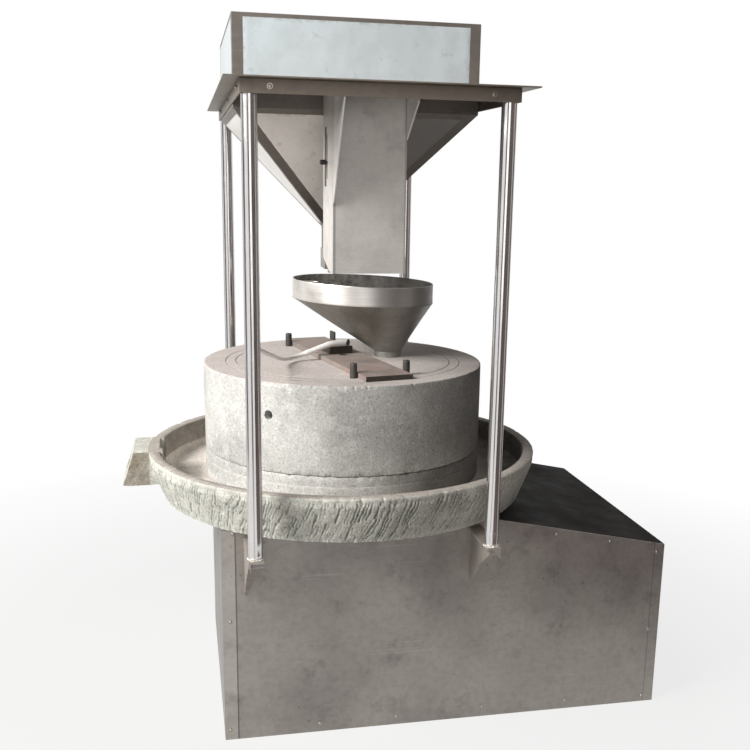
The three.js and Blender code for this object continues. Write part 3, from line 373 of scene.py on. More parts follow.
def film_finish(name, colour, glue, dim=1.0, glue_dim=1.0):
    """Protective film on steel: milky, a little glossy, with dirty scuffs and edges."""
    colour, glue = shade(colour, dim), shade(glue, glue_dim)
    finish = Finish(name, colour, Metallic=0.15, Roughness=0.38, Coat_Weight=0.25, Coat_Roughness=0.2)
    clouds = finish.noise(6.0, 4, 0.55)
    finish.body = finish.shades(clouds, (0.3, 0.93), (0.5, 1.0), (0.7, 1.05))
    finish.coat(finish.patches(17.0, 5, 0.66, (4, 8, 2), 0.46, 0.66, 0.4), 0.8)
    finish.coat(finish.patches(26.0, 6, 0.72, (1, 3, 2), 0.6, 0.74, 0.55), glue)
    specks = finish.specks(42.0, (2, 6, 3), 0.04, 0.09, 0.6)
    finish.coat(finish.product(specks, finish.patches(9.0, 2, 0.55, (8, 1, 5), 0.53, 0.6)), shade(glue, 0.4))
    edge = finish.level(finish.attribute("edge"), 0.0, 0.4, 0.5, 0)
    finish.coat(finish.product(edge, finish.patches(40.0, 5, 0.7, (7, 7, 1), 0.46, 0.62)), shade(glue, 0.7))
    finish.gloss(clouds, 0.3, 0.46)
    finish.bump(finish.noise(38.0, 3, 0.5, stretch=(1, 1, 0.35)), 0.3, 0.0007)
    return finish.done()


def cast_iron(name, colour, rust):
    """Sand-cast iron with rust in places."""
    finish = Finish(name, colour, Metallic=0.55)
    clouds = finish.noise(12.0, 4)
    finish.body = finish.shades(clouds, (0.3, 0.75), (0.7, 1.3))
    finish.coat(finish.patches(22.0, 5, 0.7, (1, 1, 4), 0.62, 0.76, 0.5), rust)
    finish.gloss(clouds, 0.55, 0.8)
    finish.bump(finish.noise(260.0, 3, 0.7), 0.4, 0.0009)
    return finish.done()


def motor_paint(name, colour, dust):
    """Enamel with dust in places."""
    finish = Finish(name, colour, IOR=1.5, Coat_Weight=0.3, Coat_Roughness=0.25)
    drips = finish.noise(20.0, 4, 0.6)
    finish.body = finish.shades(drips, (0.3, 0.85), (0.7, 1.12))
    finish.coat(finish.patches(8.0, 5, 0.65, (3, 3, 0), 0.5, 0.75, 0.35), dust)
    finish.gloss(drips, 0.35, 0.55)
    finish.bump(finish.noise(180.0, 2), 0.15, 0.0005)
    return finish.done()


def moulded(name, colour, wear, stops, roughness, bump, grain=None, **fixed):
    """Rubber or plastic in two shades of its colour, with a fine grain."""
    finish = Finish(name, colour, **fixed)
    worn = finish.noise(*wear)
    finish.body = finish.shades(worn, *stops)
    finish.gloss(worn, *roughness)
    finish.bump(finish.noise(grain, 2) if grain else worn, *bump)
    return finish.done()


def recipe(maker, *colours, **settings):
    """Which function makes a finish, from which colours of the sidebar, and with what settings."""
    return maker, colours, settings


# Axis, place in metres, reach to each side and share of each dark seam.
PANEL_SEAMS = (("X", -0.297, 0.0022, 0.65), ("X", 0.727, 0.002, 0.4))
HOUSING_SEAMS = (("X", -0.0755, 0.0034, 0.6), ("X", 0.0775, 0.003, 0.5))
GUSSET_SEAMS = (("Y", -0.3495, 0.0045, 0.8),)
BRUSH, FINE_BRUSH, EVEN = (1, 1, 30), (1, 1, 40), (8, 8, 8)
PALE_SHEET = {"metallic": 0.3, "roughness": 0.4, "brush": BRUSH}
RECIPES = {
    "panel_steel": recipe(sheet_steel, "panel", grime=0.7, seams=PANEL_SEAMS),
    "fold_steel": recipe(sheet_steel, "fold", roughness=0.38, dull_side=-0.3272),
    "cover_steel": recipe(dark_sheet, "cover", roughness=0.7, metallic=0.08, mirror=0.06),
    "hopper_steel": recipe(sheet_steel, "hopper", roughness=0.36, brush=FINE_BRUSH),
    "hopper_bare": recipe(sheet_steel, "bare", metallic=0.65, roughness=0.5, brush=FINE_BRUSH, grime=0.6),
    "frame_steel": recipe(sheet_steel, "band", roughness=0.5, brush=BRUSH),
    "bracket_steel": recipe(sheet_steel, "bracket", metallic=0.5, brush=BRUSH, grime=0.6),
    "housing_steel": recipe(sheet_steel, "housing", **PALE_SHEET, seams=HOUSING_SEAMS),
    "gusset_steel": recipe(sheet_steel, "gusset", **PALE_SHEET, grime=0.2, seams=GUSSET_SEAMS),
    "strip_steel": recipe(
        sheet_steel, "strip", metallic=0.7, roughness=0.45, brush=(30, 30, 1), grime=0.7, spots=0.8
    ),
    "dark_steel": recipe(dark_sheet, "dark"),
    "peg_steel": recipe(dark_sheet, "peg", roughness=0.6, metallic=0.5),
    "funnel_cone": recipe(dark_sheet, "cone", roughness=0.48, metallic=0.75),
    "funnel_hoop": recipe(bright_steel, "hoop", roughness=0.34, streak=BRUSH, metallic=0.85, dull_from=0.01),
    "bright_steel": recipe(bright_steel, "chrome", roughness=0.16),
    "post_chrome": recipe(bright_steel, "chrome", roughness=0.09, streak=(90, 90, 1)),
    "arm_steel": recipe(bright_steel, "arm", roughness=0.36, streak=(30, 30, 30), metallic=0.3),
    "weld": recipe(bright_steel, "weld", roughness=0.34, streak=EVEN),
    "bolt_steel": recipe(bright_steel, "bolts", roughness=0.3, streak=EVEN),
    "rusty_steel": recipe(rusty_plate, "crossbar", "rust"),
    "cast_iron": recipe(cast_iron, "iron", "iron_rust"),
    "motor_paint": recipe(motor_paint, "paint", "paint_dust"),
    "rubber": recipe(
        moulded, "rubber", wear=(90.0, 4, 0.7), stops=((0.35, 0.8), (0.7, 1.5)), roughness=(0.7, 0.92),
        bump=(0.3, 0.0006),
    ),
    "black_plastic": recipe(
        moulded, "knob", wear=(60.0, 4, 0.6), stops=((0.4, 1.0), (0.8, 2.2)), roughness=(0.35, 0.6),
        bump=(0.15, 0.0003), grain=400.0, IOR=1.46,
    ),
    "mill_stone": recipe(stone_finish, "stone", "stone_top", "chisel", rim_height=0.842),
    "basin_stone": recipe(
        stone_finish, "basin", "basin_rim", "chisel", "trough", "spout_shade", rim_height=0.6265, rough=0.0032
    ),
    "film": recipe(film_finish, "film", "glue"),
    # Painted shade: the film on the box's left face, which faces the light, is a darker copy.
    "film_left": recipe(film_finish, "film", "glue", dim=0.72),
    "film_slope": recipe(film_finish, "film_slope", "glue"),
    "film_worn": recipe(film_finish, "film_slope", "glue", dim=0.3, glue_dim=0.7),
}
FINISHES = {}


def finish_for(slot):
    """The material of a record slot or of a dressing, made once."""
    if slot not in FINISHES:
        maker, keys, settings = RECIPES[slot]
        colours = (tuple(getattr(bpy.context.scene.mill_colours, key)) for key in keys)
        FINISHES[slot] = maker(slot, *colours, **settings)
    return FINISHES[slot]


# ---------------------------------------------------------------- meshes


def outward(verts, faces):
    """The faces turned so that the closed shape's volume is positive."""
    points = np.asarray(verts, dtype=float)
    total = 0.0
    for face in faces:
        a = points[face[0]]
        for i in range(1, len(face) - 1):
            total += np.dot(a, np.cross(points[face[i]], points[face[i + 1]]))
    return faces if total > 0 else [tuple(reversed(face)) for face in faces]


def grid_faces(rows, columns, wrap_rows, wrap_columns):
    """Quads of a grid of rows x columns points, stored row by row."""
    i = np.arange(rows if wrap_rows else rows - 1)[:, None]
    j = np.arange(columns if wrap_columns else columns - 1)[None, :]
    row, next_row = i * columns, ((i + 1) % rows) * columns
    next_j = (j + 1) % columns
    return np.stack([row + j, row + next_j, next_row + next_j, next_row + j], axis=-1).reshape(-1, 4)


def grid_volume(points):
    """Sign of the volume inside a doubly closed grid of points."""
    b = np.roll(points, -1, axis=1)
    c = np.roll(b, -1, axis=0)
    d = np.roll(points, -1, axis=0)
    return float((points * np.cross(b, c)).sum() + (points * np.cross(c, d)).sum())


def placed(name, data):
    """A new object in the scene."""
    piece = bpy.data.objects.new(name, data)
    bpy.context.scene.collection.objects.link(piece)
    return piece


def smoothed(piece, sharp):
    """Smooth faces, with the edges past an angle kept sharp."""
    mesh = piece.data
    mesh.polygons.foreach_set("use_smooth", [True] * len(mesh.polygons))
    mesh.set_sharp_from_angle(angle=math.radians(sharp))
    return piece


def new_object(name, verts, faces, sharp=SHARP):
    """A mesh object at the origin, from points in millimetres."""
    mesh = bpy.data.meshes.new(name)
    verts = np.asarray(verts, dtype=float) * MM
    mesh.from_pydata(verts.tolist(), [], [tuple(int(i) for i in face) for face in faces])
    mesh.validate()
    return smoothed(placed(name, mesh), sharp)


def mark(piece, label, values):
    """Stores a value at each point of a piece, for its material."""
    layer = piece.data.attributes.new(label, "FLOAT", "POINT")
    layer.data.foreach_set("value", np.asarray(values).reshape(-1).astype(np.float32))


def dressed(piece, body, slot, *nodes, finish=None):
    """Gives a piece its material, from its finish or else its slot, its body, and hides the CAD nodes that it
    stands for.
    """
    piece.data.materials.clear()
    piece.data.materials.append(finish_for(finish or slot))
    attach(piece, body)
    if nodes:
        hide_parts(*nodes)
    return piece


def evaluated_mesh(piece):
    """The plain mesh of an object with its modifiers or its curve worked in."""
    graph = bpy.context.evaluated_depsgraph_get()
    return bpy.data.meshes.new_from_object(piece.evaluated_get(graph))


def baked(piece):
    """The piece with its modifiers worked into a plain mesh."""
    mesh, old = evaluated_mesh(piece), piece.data
    piece.modifiers.clear()
    piece.data = mesh
    bpy.data.meshes.remove(old)
    mesh.name = piece.name
    return piece


def carved(piece, tools, operation="DIFFERENCE", sharp=40.0):
    """Cuts or joins closed tools with a closed piece and removes them."""
    for tool in tools:
        modifier = piece.modifiers.new("cut", "BOOLEAN")
        modifier.operation = operation
        modifier.object = tool
        modifier.solver = "MANIFOLD"
    baked(piece)
    for tool in tools:
        bpy.data.objects.remove(tool)
    return smoothed(piece, sharp)


def turned_grid(profile, columns):
    """Radius, height and share of a turn of a closed profile, at each column of a turned body."""
    table = np.asarray(profile, dtype=float)
    radius, height = (np.tile(table[:, k], (columns, 1)) for k in (0, 1))
    return radius, height, np.arange(columns)[:, None] / columns + np.zeros_like(radius)


def turned_points(radius, height, centre=(0, 0)):
    """Points of a turned body, from the grids of its radius and height."""
    angle = turns(radius.shape[0])[:, None]
    x, y = centre[0] + radius * np.cos(angle), centre[1] + radius * np.sin(angle)
    return np.stack([x, y, height], axis=-1)


def turns(count):
    """Angles of an even division of a full turn."""
    return np.arange(count) * 2 * math.pi / count


def closed_grid(name, points, sharp=SHARP, **marks):
    """A doubly closed skin over a grid of points, with optional named values at each point."""
    rows, columns, _ = points.shape
    faces = grid_faces(rows, columns, True, True)
    if grid_volume(points) < 0:
        faces = faces[:, ::-1]
    piece = new_object(name, points.reshape(-1, 3), faces, sharp)
    for label, values in marks.items():
        mark(piece, label, values)
    return piece


def dense(profile, steps):
    """A closed profile with each side split into a number of steps."""
    points = []
    for index, count in enumerate(steps):
        a = np.asarray(profile[index], dtype=float)
        b = np.asarray(profile[(index + 1) % len(profile)], dtype=float)
        points += [tuple(a + (b - a) * k / count) for k in range(count)]
    return points


def swept(path, radii, facets, bore=None):
    """Rings of a round rod along a path, and the rings of its bore in return order where radii are given."""
    path = np.asarray(path, dtype=float)
    tangents = np.gradient(path, axis=0)
    tangents /= np.linalg.norm(tangents, axis=1)[:, None]
    side = np.cross(tangents[0], (0.0, 0.0, 1.0))
    if np.linalg.norm(side) < 1e-6:
        side = np.array((1.0, 0.0, 0.0))
    circles = []
    angle = turns(facets)[:, None]
    for tangent in tangents:
        side = side - tangent * np.dot(side, tangent)
        side /= np.linalg.norm(side)
        circles.append(np.cos(angle) * side + np.sin(angle) * np.cross(side, tangent))
    outer, inner = (
        None if radius is None else np.array([p + c * r for p, c, r in zip(path, circles, radius)])
        for radius in (radii, bore)
    )
    return outer if inner is None else np.concatenate([outer, inner[::-1]])


def capped(name, rings):
    """A closed skin through rings of points, with a fan at each end."""
    rows, columns, _ = rings.shape
    faces = grid_faces(rows, columns, False, True).tolist()
    verts = rings.reshape(-1, 3).tolist()
    first, last = len(verts), len(verts) + 1
    verts += [rings[0].mean(axis=0).tolist(), rings[-1].mean(axis=0).tolist()]
    base = (rows - 1) * columns
    for j in range(columns):
        k = (j + 1) % columns
        faces += [(first, k, j), (last, base + j, base + k)]
    return new_object(name, verts, outward(verts, faces))


def smooth_noise(u, v, cells_u, cells_v, seed):
    """Soft random field over 0..1 by 0..1, repeating along u."""
    values = np.random.default_rng(seed).random((cells_v + 2, cells_u))
    x, y = u * cells_u, np.clip(v, 0, 0.999999) * cells_v
    i, j = np.floor(x).astype(int), np.floor(y).astype(int)
    fx, fy = x - i, y - j
    fx, fy = fx * fx * (3 - 2 * fx), fy * fy * (3 - 2 * fy)
    i0, i1 = i % cells_u, (i + 1) % cells_u
    low = values[j, i0] * (1 - fx) + values[j, i1] * fx
    high = values[j + 1, i0] * (1 - fx) + values[j + 1, i1] * fx
    return low * (1 - fy) + high * fy


def scatter(values, spread=43758.5453):
    """An even-looking share from 0 to 1 for each value, the same on every run."""
    return np.abs(np.sin(values) * spread) % 1.0


def edge_noise(u, cells, seed):
    """Soft random line over 0..1 that repeats."""
    return smooth_noise(u, u * 0, cells, 1, seed)


def box_tool(name, low, high):
    """Closed box between two corners."""
    (x0, y0, z0), (x1, y1, z1) = low, high
    verts = [(x, y, z) for z in (z0, z1) for y in (y0, y1) for x in (x0, x1)]
    faces = [(0, 2, 3, 1), (4, 5, 7, 6), (0, 1, 5, 4), (2, 6, 7, 3), (0, 4, 6, 2), (1, 3, 7, 5)]
    return new_object(name, verts, faces)


def rod_tool(name, start, end, radius, facets=40):
    """Closed round rod between two points."""
    return capped(name, swept(np.linspace(start, end, 2), [radius] * 2, facets))


# ---------------------------------------------------------------- Geometry Nodes


class Pattern(Tree):
    """A Geometry Nodes tree under construction, with named inputs."""

    def __init__(self, name, inputs):
        self.tree = bpy.data.node_groups.new(name, "GeometryNodeTree")
        super().__init__(self.tree)
        face = self.tree.interface
        for way in ("OUTPUT", "INPUT"):
            face.new_socket("Geometry", in_out=way, socket_type="NodeSocketGeometry")
        self.keys = {}
        for label, value in inputs.items():
            kind = "NodeSocketInt" if isinstance(value, int) else "NodeSocketFloat"
            socket = face.new_socket(label, in_out="INPUT", socket_type=kind)
            socket.default_value = value
            self.keys[label] = socket.identifier
        self.source = self.add("NodeGroupInput").outputs
        self.result = self.add("NodeGroupOutput").inputs[0]

    def cylinder(self, sides, part):
        """Cylinder with the radius and the rise of a named part."""
        radius, rise = (self.source[f"{part} {size}"] for size in ("Radius", "Rise"))
        sockets = {"Vertices": sides, "Radius": radius, "Depth": rise}
        return self.add("GeometryNodeMeshCylinder", sockets).outputs["Mesh"]

    def dome(self, segments, radius, flatness):
        """Flattened ball."""
        sockets = {"Segments": segments, "Rings": segments // 2, "Radius": radius}
        ball = self.add("GeometryNodeMeshUVSphere", sockets).outputs["Mesh"]
        flat = self.vector(1.0, 1.0, flatness)
        return self.add("GeometryNodeTransform", {"Geometry": ball, "Scale": flat}).outputs[0]

    def vector(self, x, y, z):
        return self.add("ShaderNodeCombineXYZ", {"X": x, "Y": y, "Z": z}).outputs[0]

    def lifted(self, shape, height):
        sockets = {"Geometry": shape, "Translation": self.vector(0.0, 0.0, height)}
        return self.add("GeometryNodeTransform", sockets).outputs[0]

    def random(self, low, high, seed):
        node = self.add("FunctionNodeRandomValue", {"Min": low, "Max": high, "Seed": seed}, data_type="FLOAT")
        return next(s for s in node.outputs if s.enabled and s.type == "VALUE")

    def on_points(self, shapes, slot, axis="Z", spin_seed=None, scale=None):
        """Ends the tree: shapes on every point, an axis along the point's aim, made real, in a material."""
        join = self.add("GeometryNodeJoinGeometry")
        for shape in shapes:
            self.links.new(shape, join.inputs[0])
        aim = self.add("GeometryNodeInputNamedAttribute", {"Name": "aim"}, data_type="FLOAT_VECTOR")
        sockets = {"Vector": aim.outputs["Attribute"]}
        turn = self.add("FunctionNodeAlignRotationToVector", sockets, axis=axis).outputs[0]
        if spin_seed is not None:
            sockets = {"Axis": (0, 0, 1), "Angle": self.random(0.0, 6.28, spin_seed)}
            spin = self.add("FunctionNodeAxisAngleToRotation", sockets).outputs[0]
            sockets = {"Rotation": turn, "Rotate By": spin}
            turn = self.add("FunctionNodeRotateRotation", sockets, rotation_space="LOCAL").outputs[0]
        sockets = {"Points": self.source["Geometry"], "Instance": join.outputs[0], "Rotation": turn}
        if scale is not None:
            sockets["Scale"] = scale
        placed_shapes = self.add("GeometryNodeInstanceOnPoints", sockets).outputs[0]
        real = self.add("GeometryNodeRealizeInstances", {"Geometry": placed_shapes}).outputs[0]
        material = self.add("GeometryNodeSetMaterial", {"Geometry": real, "Material": finish_for(slot)})
        self.links.new(material.outputs[0], self.result)
        return self

    def run(self, name, points, aims, values=None):
        """A plain mesh object from this tree on a cloud of points, in millimetres, each with its aim."""
        mesh = bpy.data.meshes.new(name)
        mesh.from_pydata([tuple(c * MM for c in p) for p in points], [], [])
        layer = mesh.attributes.new("aim", "FLOAT_VECTOR", "POINT")
        layer.data.foreach_set("vector", [c for aim in aims for c in aim])
        piece = placed(name, mesh)
        modifier = piece.modifiers.new("pattern", "NODES")
        modifier.node_group = self.tree
        for label, value in (values or {}).items():
            modifier[self.keys[label]] = value
        baked(piece)
        piece.data.set_sharp_from_angle(angle=math.radians(SHARP))
        return piece


def screw_pattern():
    """Pan-head screw on a washer."""
    inputs = {"Head Radius": 0.0034, "Head Rise": 0.002, "Washer Radius": 0.0047, "Washer Rise": 0.0009}
    p = Pattern("panel_screws", inputs)
    flatness = p.math("DIVIDE", p.source["Head Rise"], p.source["Head Radius"])
    head = p.dome(20, p.source["Head Radius"], flatness)
    return p.on_points((head, p.cylinder(24, "Washer")), "bolt_steel", spin_seed=3)


def bolt_pattern():
    """Hexagon bolt head on a washer."""
    inputs = {"Head Radius": 0.0046, "Head Rise": 0.0034, "Washer Radius": 0.006, "Washer Rise": 0.0016}
    p = Pattern("frame_bolts", inputs)
    shapes = [
        p.lifted(p.cylinder(sides, part), p.math("MULTIPLY", p.source[f"{part} Rise"], 0.5))
        for sides, part in ((32, "Washer"), (6, "Head"))
    ]
    dome = p.dome(24, p.math("MULTIPLY", p.source["Head Radius"], 0.82), 0.24)
    shapes.append(p.lifted(dome, p.source["Head Rise"]))
    return p.on_points(shapes, "bolt_steel", spin_seed=11)


def bead_pattern():
    """Row of overlapping weld drops."""
    p = Pattern("weld_beads", {"Drop Radius": 0.0019, "Seed": 5})
    sockets = {"Radius": p.source["Drop Radius"], "Subdivisions": 2}
    drop = p.add("GeometryNodeMeshIcoSphere", sockets).outputs["Mesh"]
    return p.on_points((drop,), "weld", scale=p.random(0.75, 1.2, p.source["Seed"]))


def rib_pattern():
    """Cooling ribs round a motor frame."""
    p = Pattern("motor_ribs", {"Rib Length": 0.15, "Rib Height": 0.012, "Rib Thickness": 0.003})
    size = p.vector(*(p.source[f"Rib {side}"] for side in ("Height", "Length", "Thickness")))
    rib = p.add("GeometryNodeMeshCube", {"Size": size}).outputs["Mesh"]
    return p.on_points((rib,), "motor_paint", axis="X")


# ---------------------------------------------------------------- settings


def colour_setting(name, description, code):
    return bpy.props.FloatVectorProperty(
        name=name, description=description, subtype="COLOR", size=3, min=0.0, max=1.0, default=tone(code)
    )


def length_setting(name, description, millimetres):
    metres = millimetres * MM
    return bpy.props.FloatProperty(
        name=name, description=description, unit="LENGTH", subtype="DISTANCE", min=0.0, default=metres
    )


class MillColours(bpy.types.PropertyGroup):
    """Colours of the mill's finishes"""

    panel: colour_setting("Cabinet steel", "Front and side panels of the cabinet", "9d9791")
    fold: colour_setting("Left panel", "Left panel with its folded return", "aea9a3")
    cover: colour_setting("Motor cover", "Sloped cover over the motor", "1d1a18")
    hopper: colour_setting("Gate steel", "Choke sleeve and its lift arm", "a39a93")
    bracket: colour_setting("Post brackets", "Folded brackets under the posts", "a49c95")
    band: colour_setting("Top frame steel", "Angle band and top sheet", "877d72")
    film: colour_setting("Protective film", "Film left on the hopper's box", "c4cdd0")
    film_slope: colour_setting("Film on the slopes", "Film on the hopper's pyramid", "ebe7e2")
    bare: colour_setting("Bare hopper steel", "Bare margins of the hopper", "766f68")
    gusset: colour_setting("Gussets", "Pale braces of the gate housing", "e2e0dc")
    housing: colour_setting("Gate housing", "Filmed sheet of the gate housing", "cdc8c2")
    strip: colour_setting("Slot strip", "Speckled strip beside the slot", "5f5b56")
    glue: colour_setting("Film dirt", "Dirt on the edges of the film", "857f78")
    chrome: colour_setting("Post chrome", "Bright tube of the posts", "e3e1e0")
    arm: colour_setting("Arm tube", "Tube and rod of the torque arm", "eeece9")
    hoop: colour_setting("Funnel hoop", "Rolled hoop of the funnel", "ece8e2")
    cone: colour_setting("Funnel cone", "Dark cone of the funnel", "9b9993")
    weld: colour_setting("Welds and screws", "Bright fasteners and weld drops", "cdc8c0")
    bolts: colour_setting("Screws and bolts", "Heads of the screws and bolts", "a8a29a")
    dark: colour_setting("Dark steel", "Smoked steel parts", "4c4740")
    peg: colour_setting("Pegs", "Round pegs in the upper stone", "4d4a46")
    crossbar: colour_setting("Crossbar", "Scaled face of the crossbar", "928780")
    rust: colour_setting("Rust", "Rust on the crossbar", "a07a6c")
    stone: colour_setting("Mill stone", "Sides of the mill stones", "bfbeba")
    stone_top: colour_setting("Mill stone top", "Dusty top of the upper stone", "c0b8b3")
    basin: colour_setting("Basin stone", "Chiselled wall of the basin", "c2c2b9")
    basin_rim: colour_setting("Basin rim", "Smooth rim of the basin", "aaa39b")
    # The channel's pale colour is painted light.
    trough: colour_setting("Basin channel", "Oily stone inside the basin", "efe6db")
    # The spout's front colour is painted shade.
    spout_shade: colour_setting("Spout front", "Stained front of the spout", "8a8071")
    chisel: colour_setting("Fresh cuts", "Bruised stone in the tool marks", "d5d8cf")
    iron: colour_setting("Cast iron", "Bearings, pulleys and turntable", "4a4c4d")
    iron_rust: colour_setting("Rust on iron", "Rust on the bearings and pulleys", "6b3f2a")
    paint: colour_setting("Motor paint", "Enamel of the motor and gearbox", "2f5d86")
    paint_dust: colour_setting("Dust on paint", "Dust on the motor and gearbox", "8f8a80")
    rubber: colour_setting("Belt rubber", "Drive belt", "1b1b1b")
    knob: colour_setting("Knob", "Plastic of the gate knob", "141414")
    floor: colour_setting("Floor", "Studio floor", "a3a19f")


class MillSizes(bpy.types.PropertyGroup):
    """Sizes of the mill's surface work"""

    stroke_spacing: length_setting("Chisel spacing", "Distance between chisel strokes on the basin", 7.5)
    stroke_depth: length_setting("Chisel depth", "Depth of the chisel strokes", 2.6)
    dressing_depth: length_setting("Dressing depth", "Depth of the tool marks on the upper stone", 0.7)
    scribe_depth: length_setting("Scribe depth", "Depth of the two circles on the upper stone", 1.2)
    chip_depth: length_setting("Edge chips", "Depth of the chips along stone edges", 2.2)
    film_thickness: length_setting("Film thickness", "Thickness of the protective film", 0.25)
    edge_round: length_setting("Sheet edge round", "Radius of bent and cut sheet edges", 0.7)
    key_power: bpy.props.FloatProperty(
        name="Key light", description="Power of the key light", default=395.0, min=0.0
    )
    sky_level: bpy.props.FloatProperty(
        name="Sky level", description="Strength of the plain sky", default=0.17, min=0.0
    )


def sizes(name):
    """A length setting, in millimetres."""
    return getattr(bpy.context.scene.mill_sizes, name) / MM


class MillOperator:
    bl_options = {"REGISTER", "UNDO"}

    @classmethod
    def poll(cls, context):
        return context.scene is not None


# ---------------------------------------------------------------- stage


class MILL_OT_stage(MillOperator, bpy.types.Operator):
    """Camera, floor, sky, two lamps and four studio cards that only reflections show"""

    bl_idname = "mill.stage"
    bl_label = "Stage"

    def execute(self, context):
        self.camera(context)
        self.world(context)
        self.floor(context)
        power = context.scene.mill_sizes.key_power
        self.lamp("key", (-3.42, -1.6, 3.25), 2.2, power)
        self.lamp("fill", (-0.6, -4.6, 1.7), 2.4, power * 0.035)
        dark, warm, grey = (0.1, 0.088, 0.085), (0.19, 0.135, 0.13), (0.3, 0.28, 0.27)
        dim, pale = (0.42, 0.41, 0.4), (0.55, 0.54, 0.53)
        stripes = (
            (0.0, grey), (0.04, dark), (0.22, warm), (0.4, dark), (0.46, pale), (0.54, pale),
            (0.6, dark), (0.83, grey), (0.9, pale), (1.0, pale),
        )
        self.card("card_right", -8.0, -125.0, stripes, True)
        small = (("front", 14.0, 31.0, grey), ("side", 74.0, 108.0, dim), ("left", 130.0, 150.0, grey))
        for name, start, end, core in small:
            self.card(f"card_{name}", start, end, ((0.0, pale), (0.5, core), (1.0, pale)), False)
        context.scene.view_settings.view_transform = "Standard"
        return {"FINISHED"}

    def camera(self, context):
        """The photograph's camera, from a fit to the object's edges."""
        data = bpy.data.cameras.new("camera")
        data.lens, data.sensor_width, data.clip_end = 48.144, 36.0, 60.0
        data.shift_x, data.shift_y = -0.02913, 0.058
        camera = placed("camera", data)
        yaw, pitch, roll = (math.radians(a) for a in (12.19, 13.25, 1.06))
        ahead = Vector((math.sin(yaw) * math.cos(pitch), math.cos(yaw) * math.cos(pitch), -math.sin(pitch)))
        right = Vector((math.cos(yaw), -math.sin(yaw), 0.0))
        up = right.cross(ahead)
        side = right * math.cos(roll) + up * math.sin(roll)
        top = up * math.cos(roll) - right * math.sin(roll)
        axes = Matrix((side, top, -ahead)).transposed().to_4x4()
        camera.matrix_world = Matrix.Translation((-0.3962, -2.4956, 1.2834)) @ axes
        context.scene.camera = camera

    def world(self, context):
        """White for the camera, reflections and glass, and a plain level for the light."""
        world = bpy.data.worlds.new("sky")
        world.use_nodes = True
        tree = Tree(world.node_tree)
        path = tree.add("ShaderNodeLightPath").outputs
        seen = tree.math("MAXIMUM", path["Is Camera Ray"], path["Is Glossy Ray"])
        seen = tree.math("MAXIMUM", seen, path["Is Transmission Ray"])
        sockets = {0: seen, 3: context.scene.mill_sizes.sky_level, 4: 1.0}
        background = tree.nodes["Background"].inputs
        tree.put(background["Color"], (1.0, 1.0, 1.0, 1.0))
        tree.put(background["Strength"], tree.add("ShaderNodeMapRange", sockets).outputs[0])
        context.scene.world = world

    def floor(self, context):
        """A wide floor that keeps the shadow and turns white away from the mill."""
        mesh, reach = bpy.data.meshes.new("floor"), 14.0
        square = ((-reach, -reach, 0), (reach, -reach, 0), (reach, reach, 0), (-reach, reach, 0))
        mesh.from_pydata(square, [], [(0, 1, 2, 3)])
        colour = tuple(context.scene.mill_colours.floor)
        finish = Finish("floor", colour, Roughness=0.9)
        path = finish.add("ShaderNodeLightPath").outputs
        shadow = finish.add("ShaderNodeBsdfDiffuse", {"Color": (*colour, 1.0)}).outputs[0]
        glow = finish.add("ShaderNodeEmission", {"Color": (1, 1, 1, 1), "Strength": 1.0}).outputs[0]
        seen = finish.math("MAXIMUM", path["Is Camera Ray"], path["Is Glossy Ray"])
        share = finish.product(seen, finish.level(finish.distance(), 0.9, 2.2, 0.8, 1.0))
        mixed = finish.add("ShaderNodeMixShader", {0: share, 1: shadow, 2: glow}).outputs[0]
        finish.put(finish.nodes["Material Output"].inputs["Surface"], mixed)
        mesh.materials.append(finish.material)
        placed("floor", mesh)

    def lamp(self, name, place, size, power):
        """Square lamp aimed at the middle of the mill."""
        data = bpy.data.lights.new(name, "AREA")
        data.energy, data.size, data.color = power, size, (1.0, 0.985, 0.97)
        aim = Vector((0.0, 0.0, 0.8)) - Vector(place)
        turn = aim.to_track_quat("-Z", "Y").to_matrix().to_4x4()
        placed(name, data).matrix_world = Matrix.Translation(place) @ turn

    def card(self, name, start, end, shades, dims):
        """A curved card of stripes round the mill and on the floor before it, seen in reflections only.
        A card that dims also keeps the sky's light from its side."""
        count = 41
        bearings = np.radians(np.linspace(start, end, count))
        rows = ((1.25, 0.006), (2.7, 0.006), (2.7, 2.7))
        verts = [(-reach * math.sin(b), -reach * math.cos(b), z) for reach, z in rows for b in bearings]
        mesh = bpy.data.meshes.new(name)
        mesh.from_pydata(verts, [], [tuple(face) for face in grid_faces(3, count, False, False).tolist()])
        card = placed(name, mesh)
        mark(card, "bearing", np.tile(np.linspace(0, 1, count), 3))
        finish = Finish(name, shades[0][1], Roughness=1.0)
        finish.body = finish.ramp(finish.attribute("bearing"), *shades)
        mesh.materials.append(finish.done())
        card.visible_camera = card.visible_shadow = card.visible_transmission = False
        card.visible_diffuse = dims


# ---------------------------------------------------------------- stones


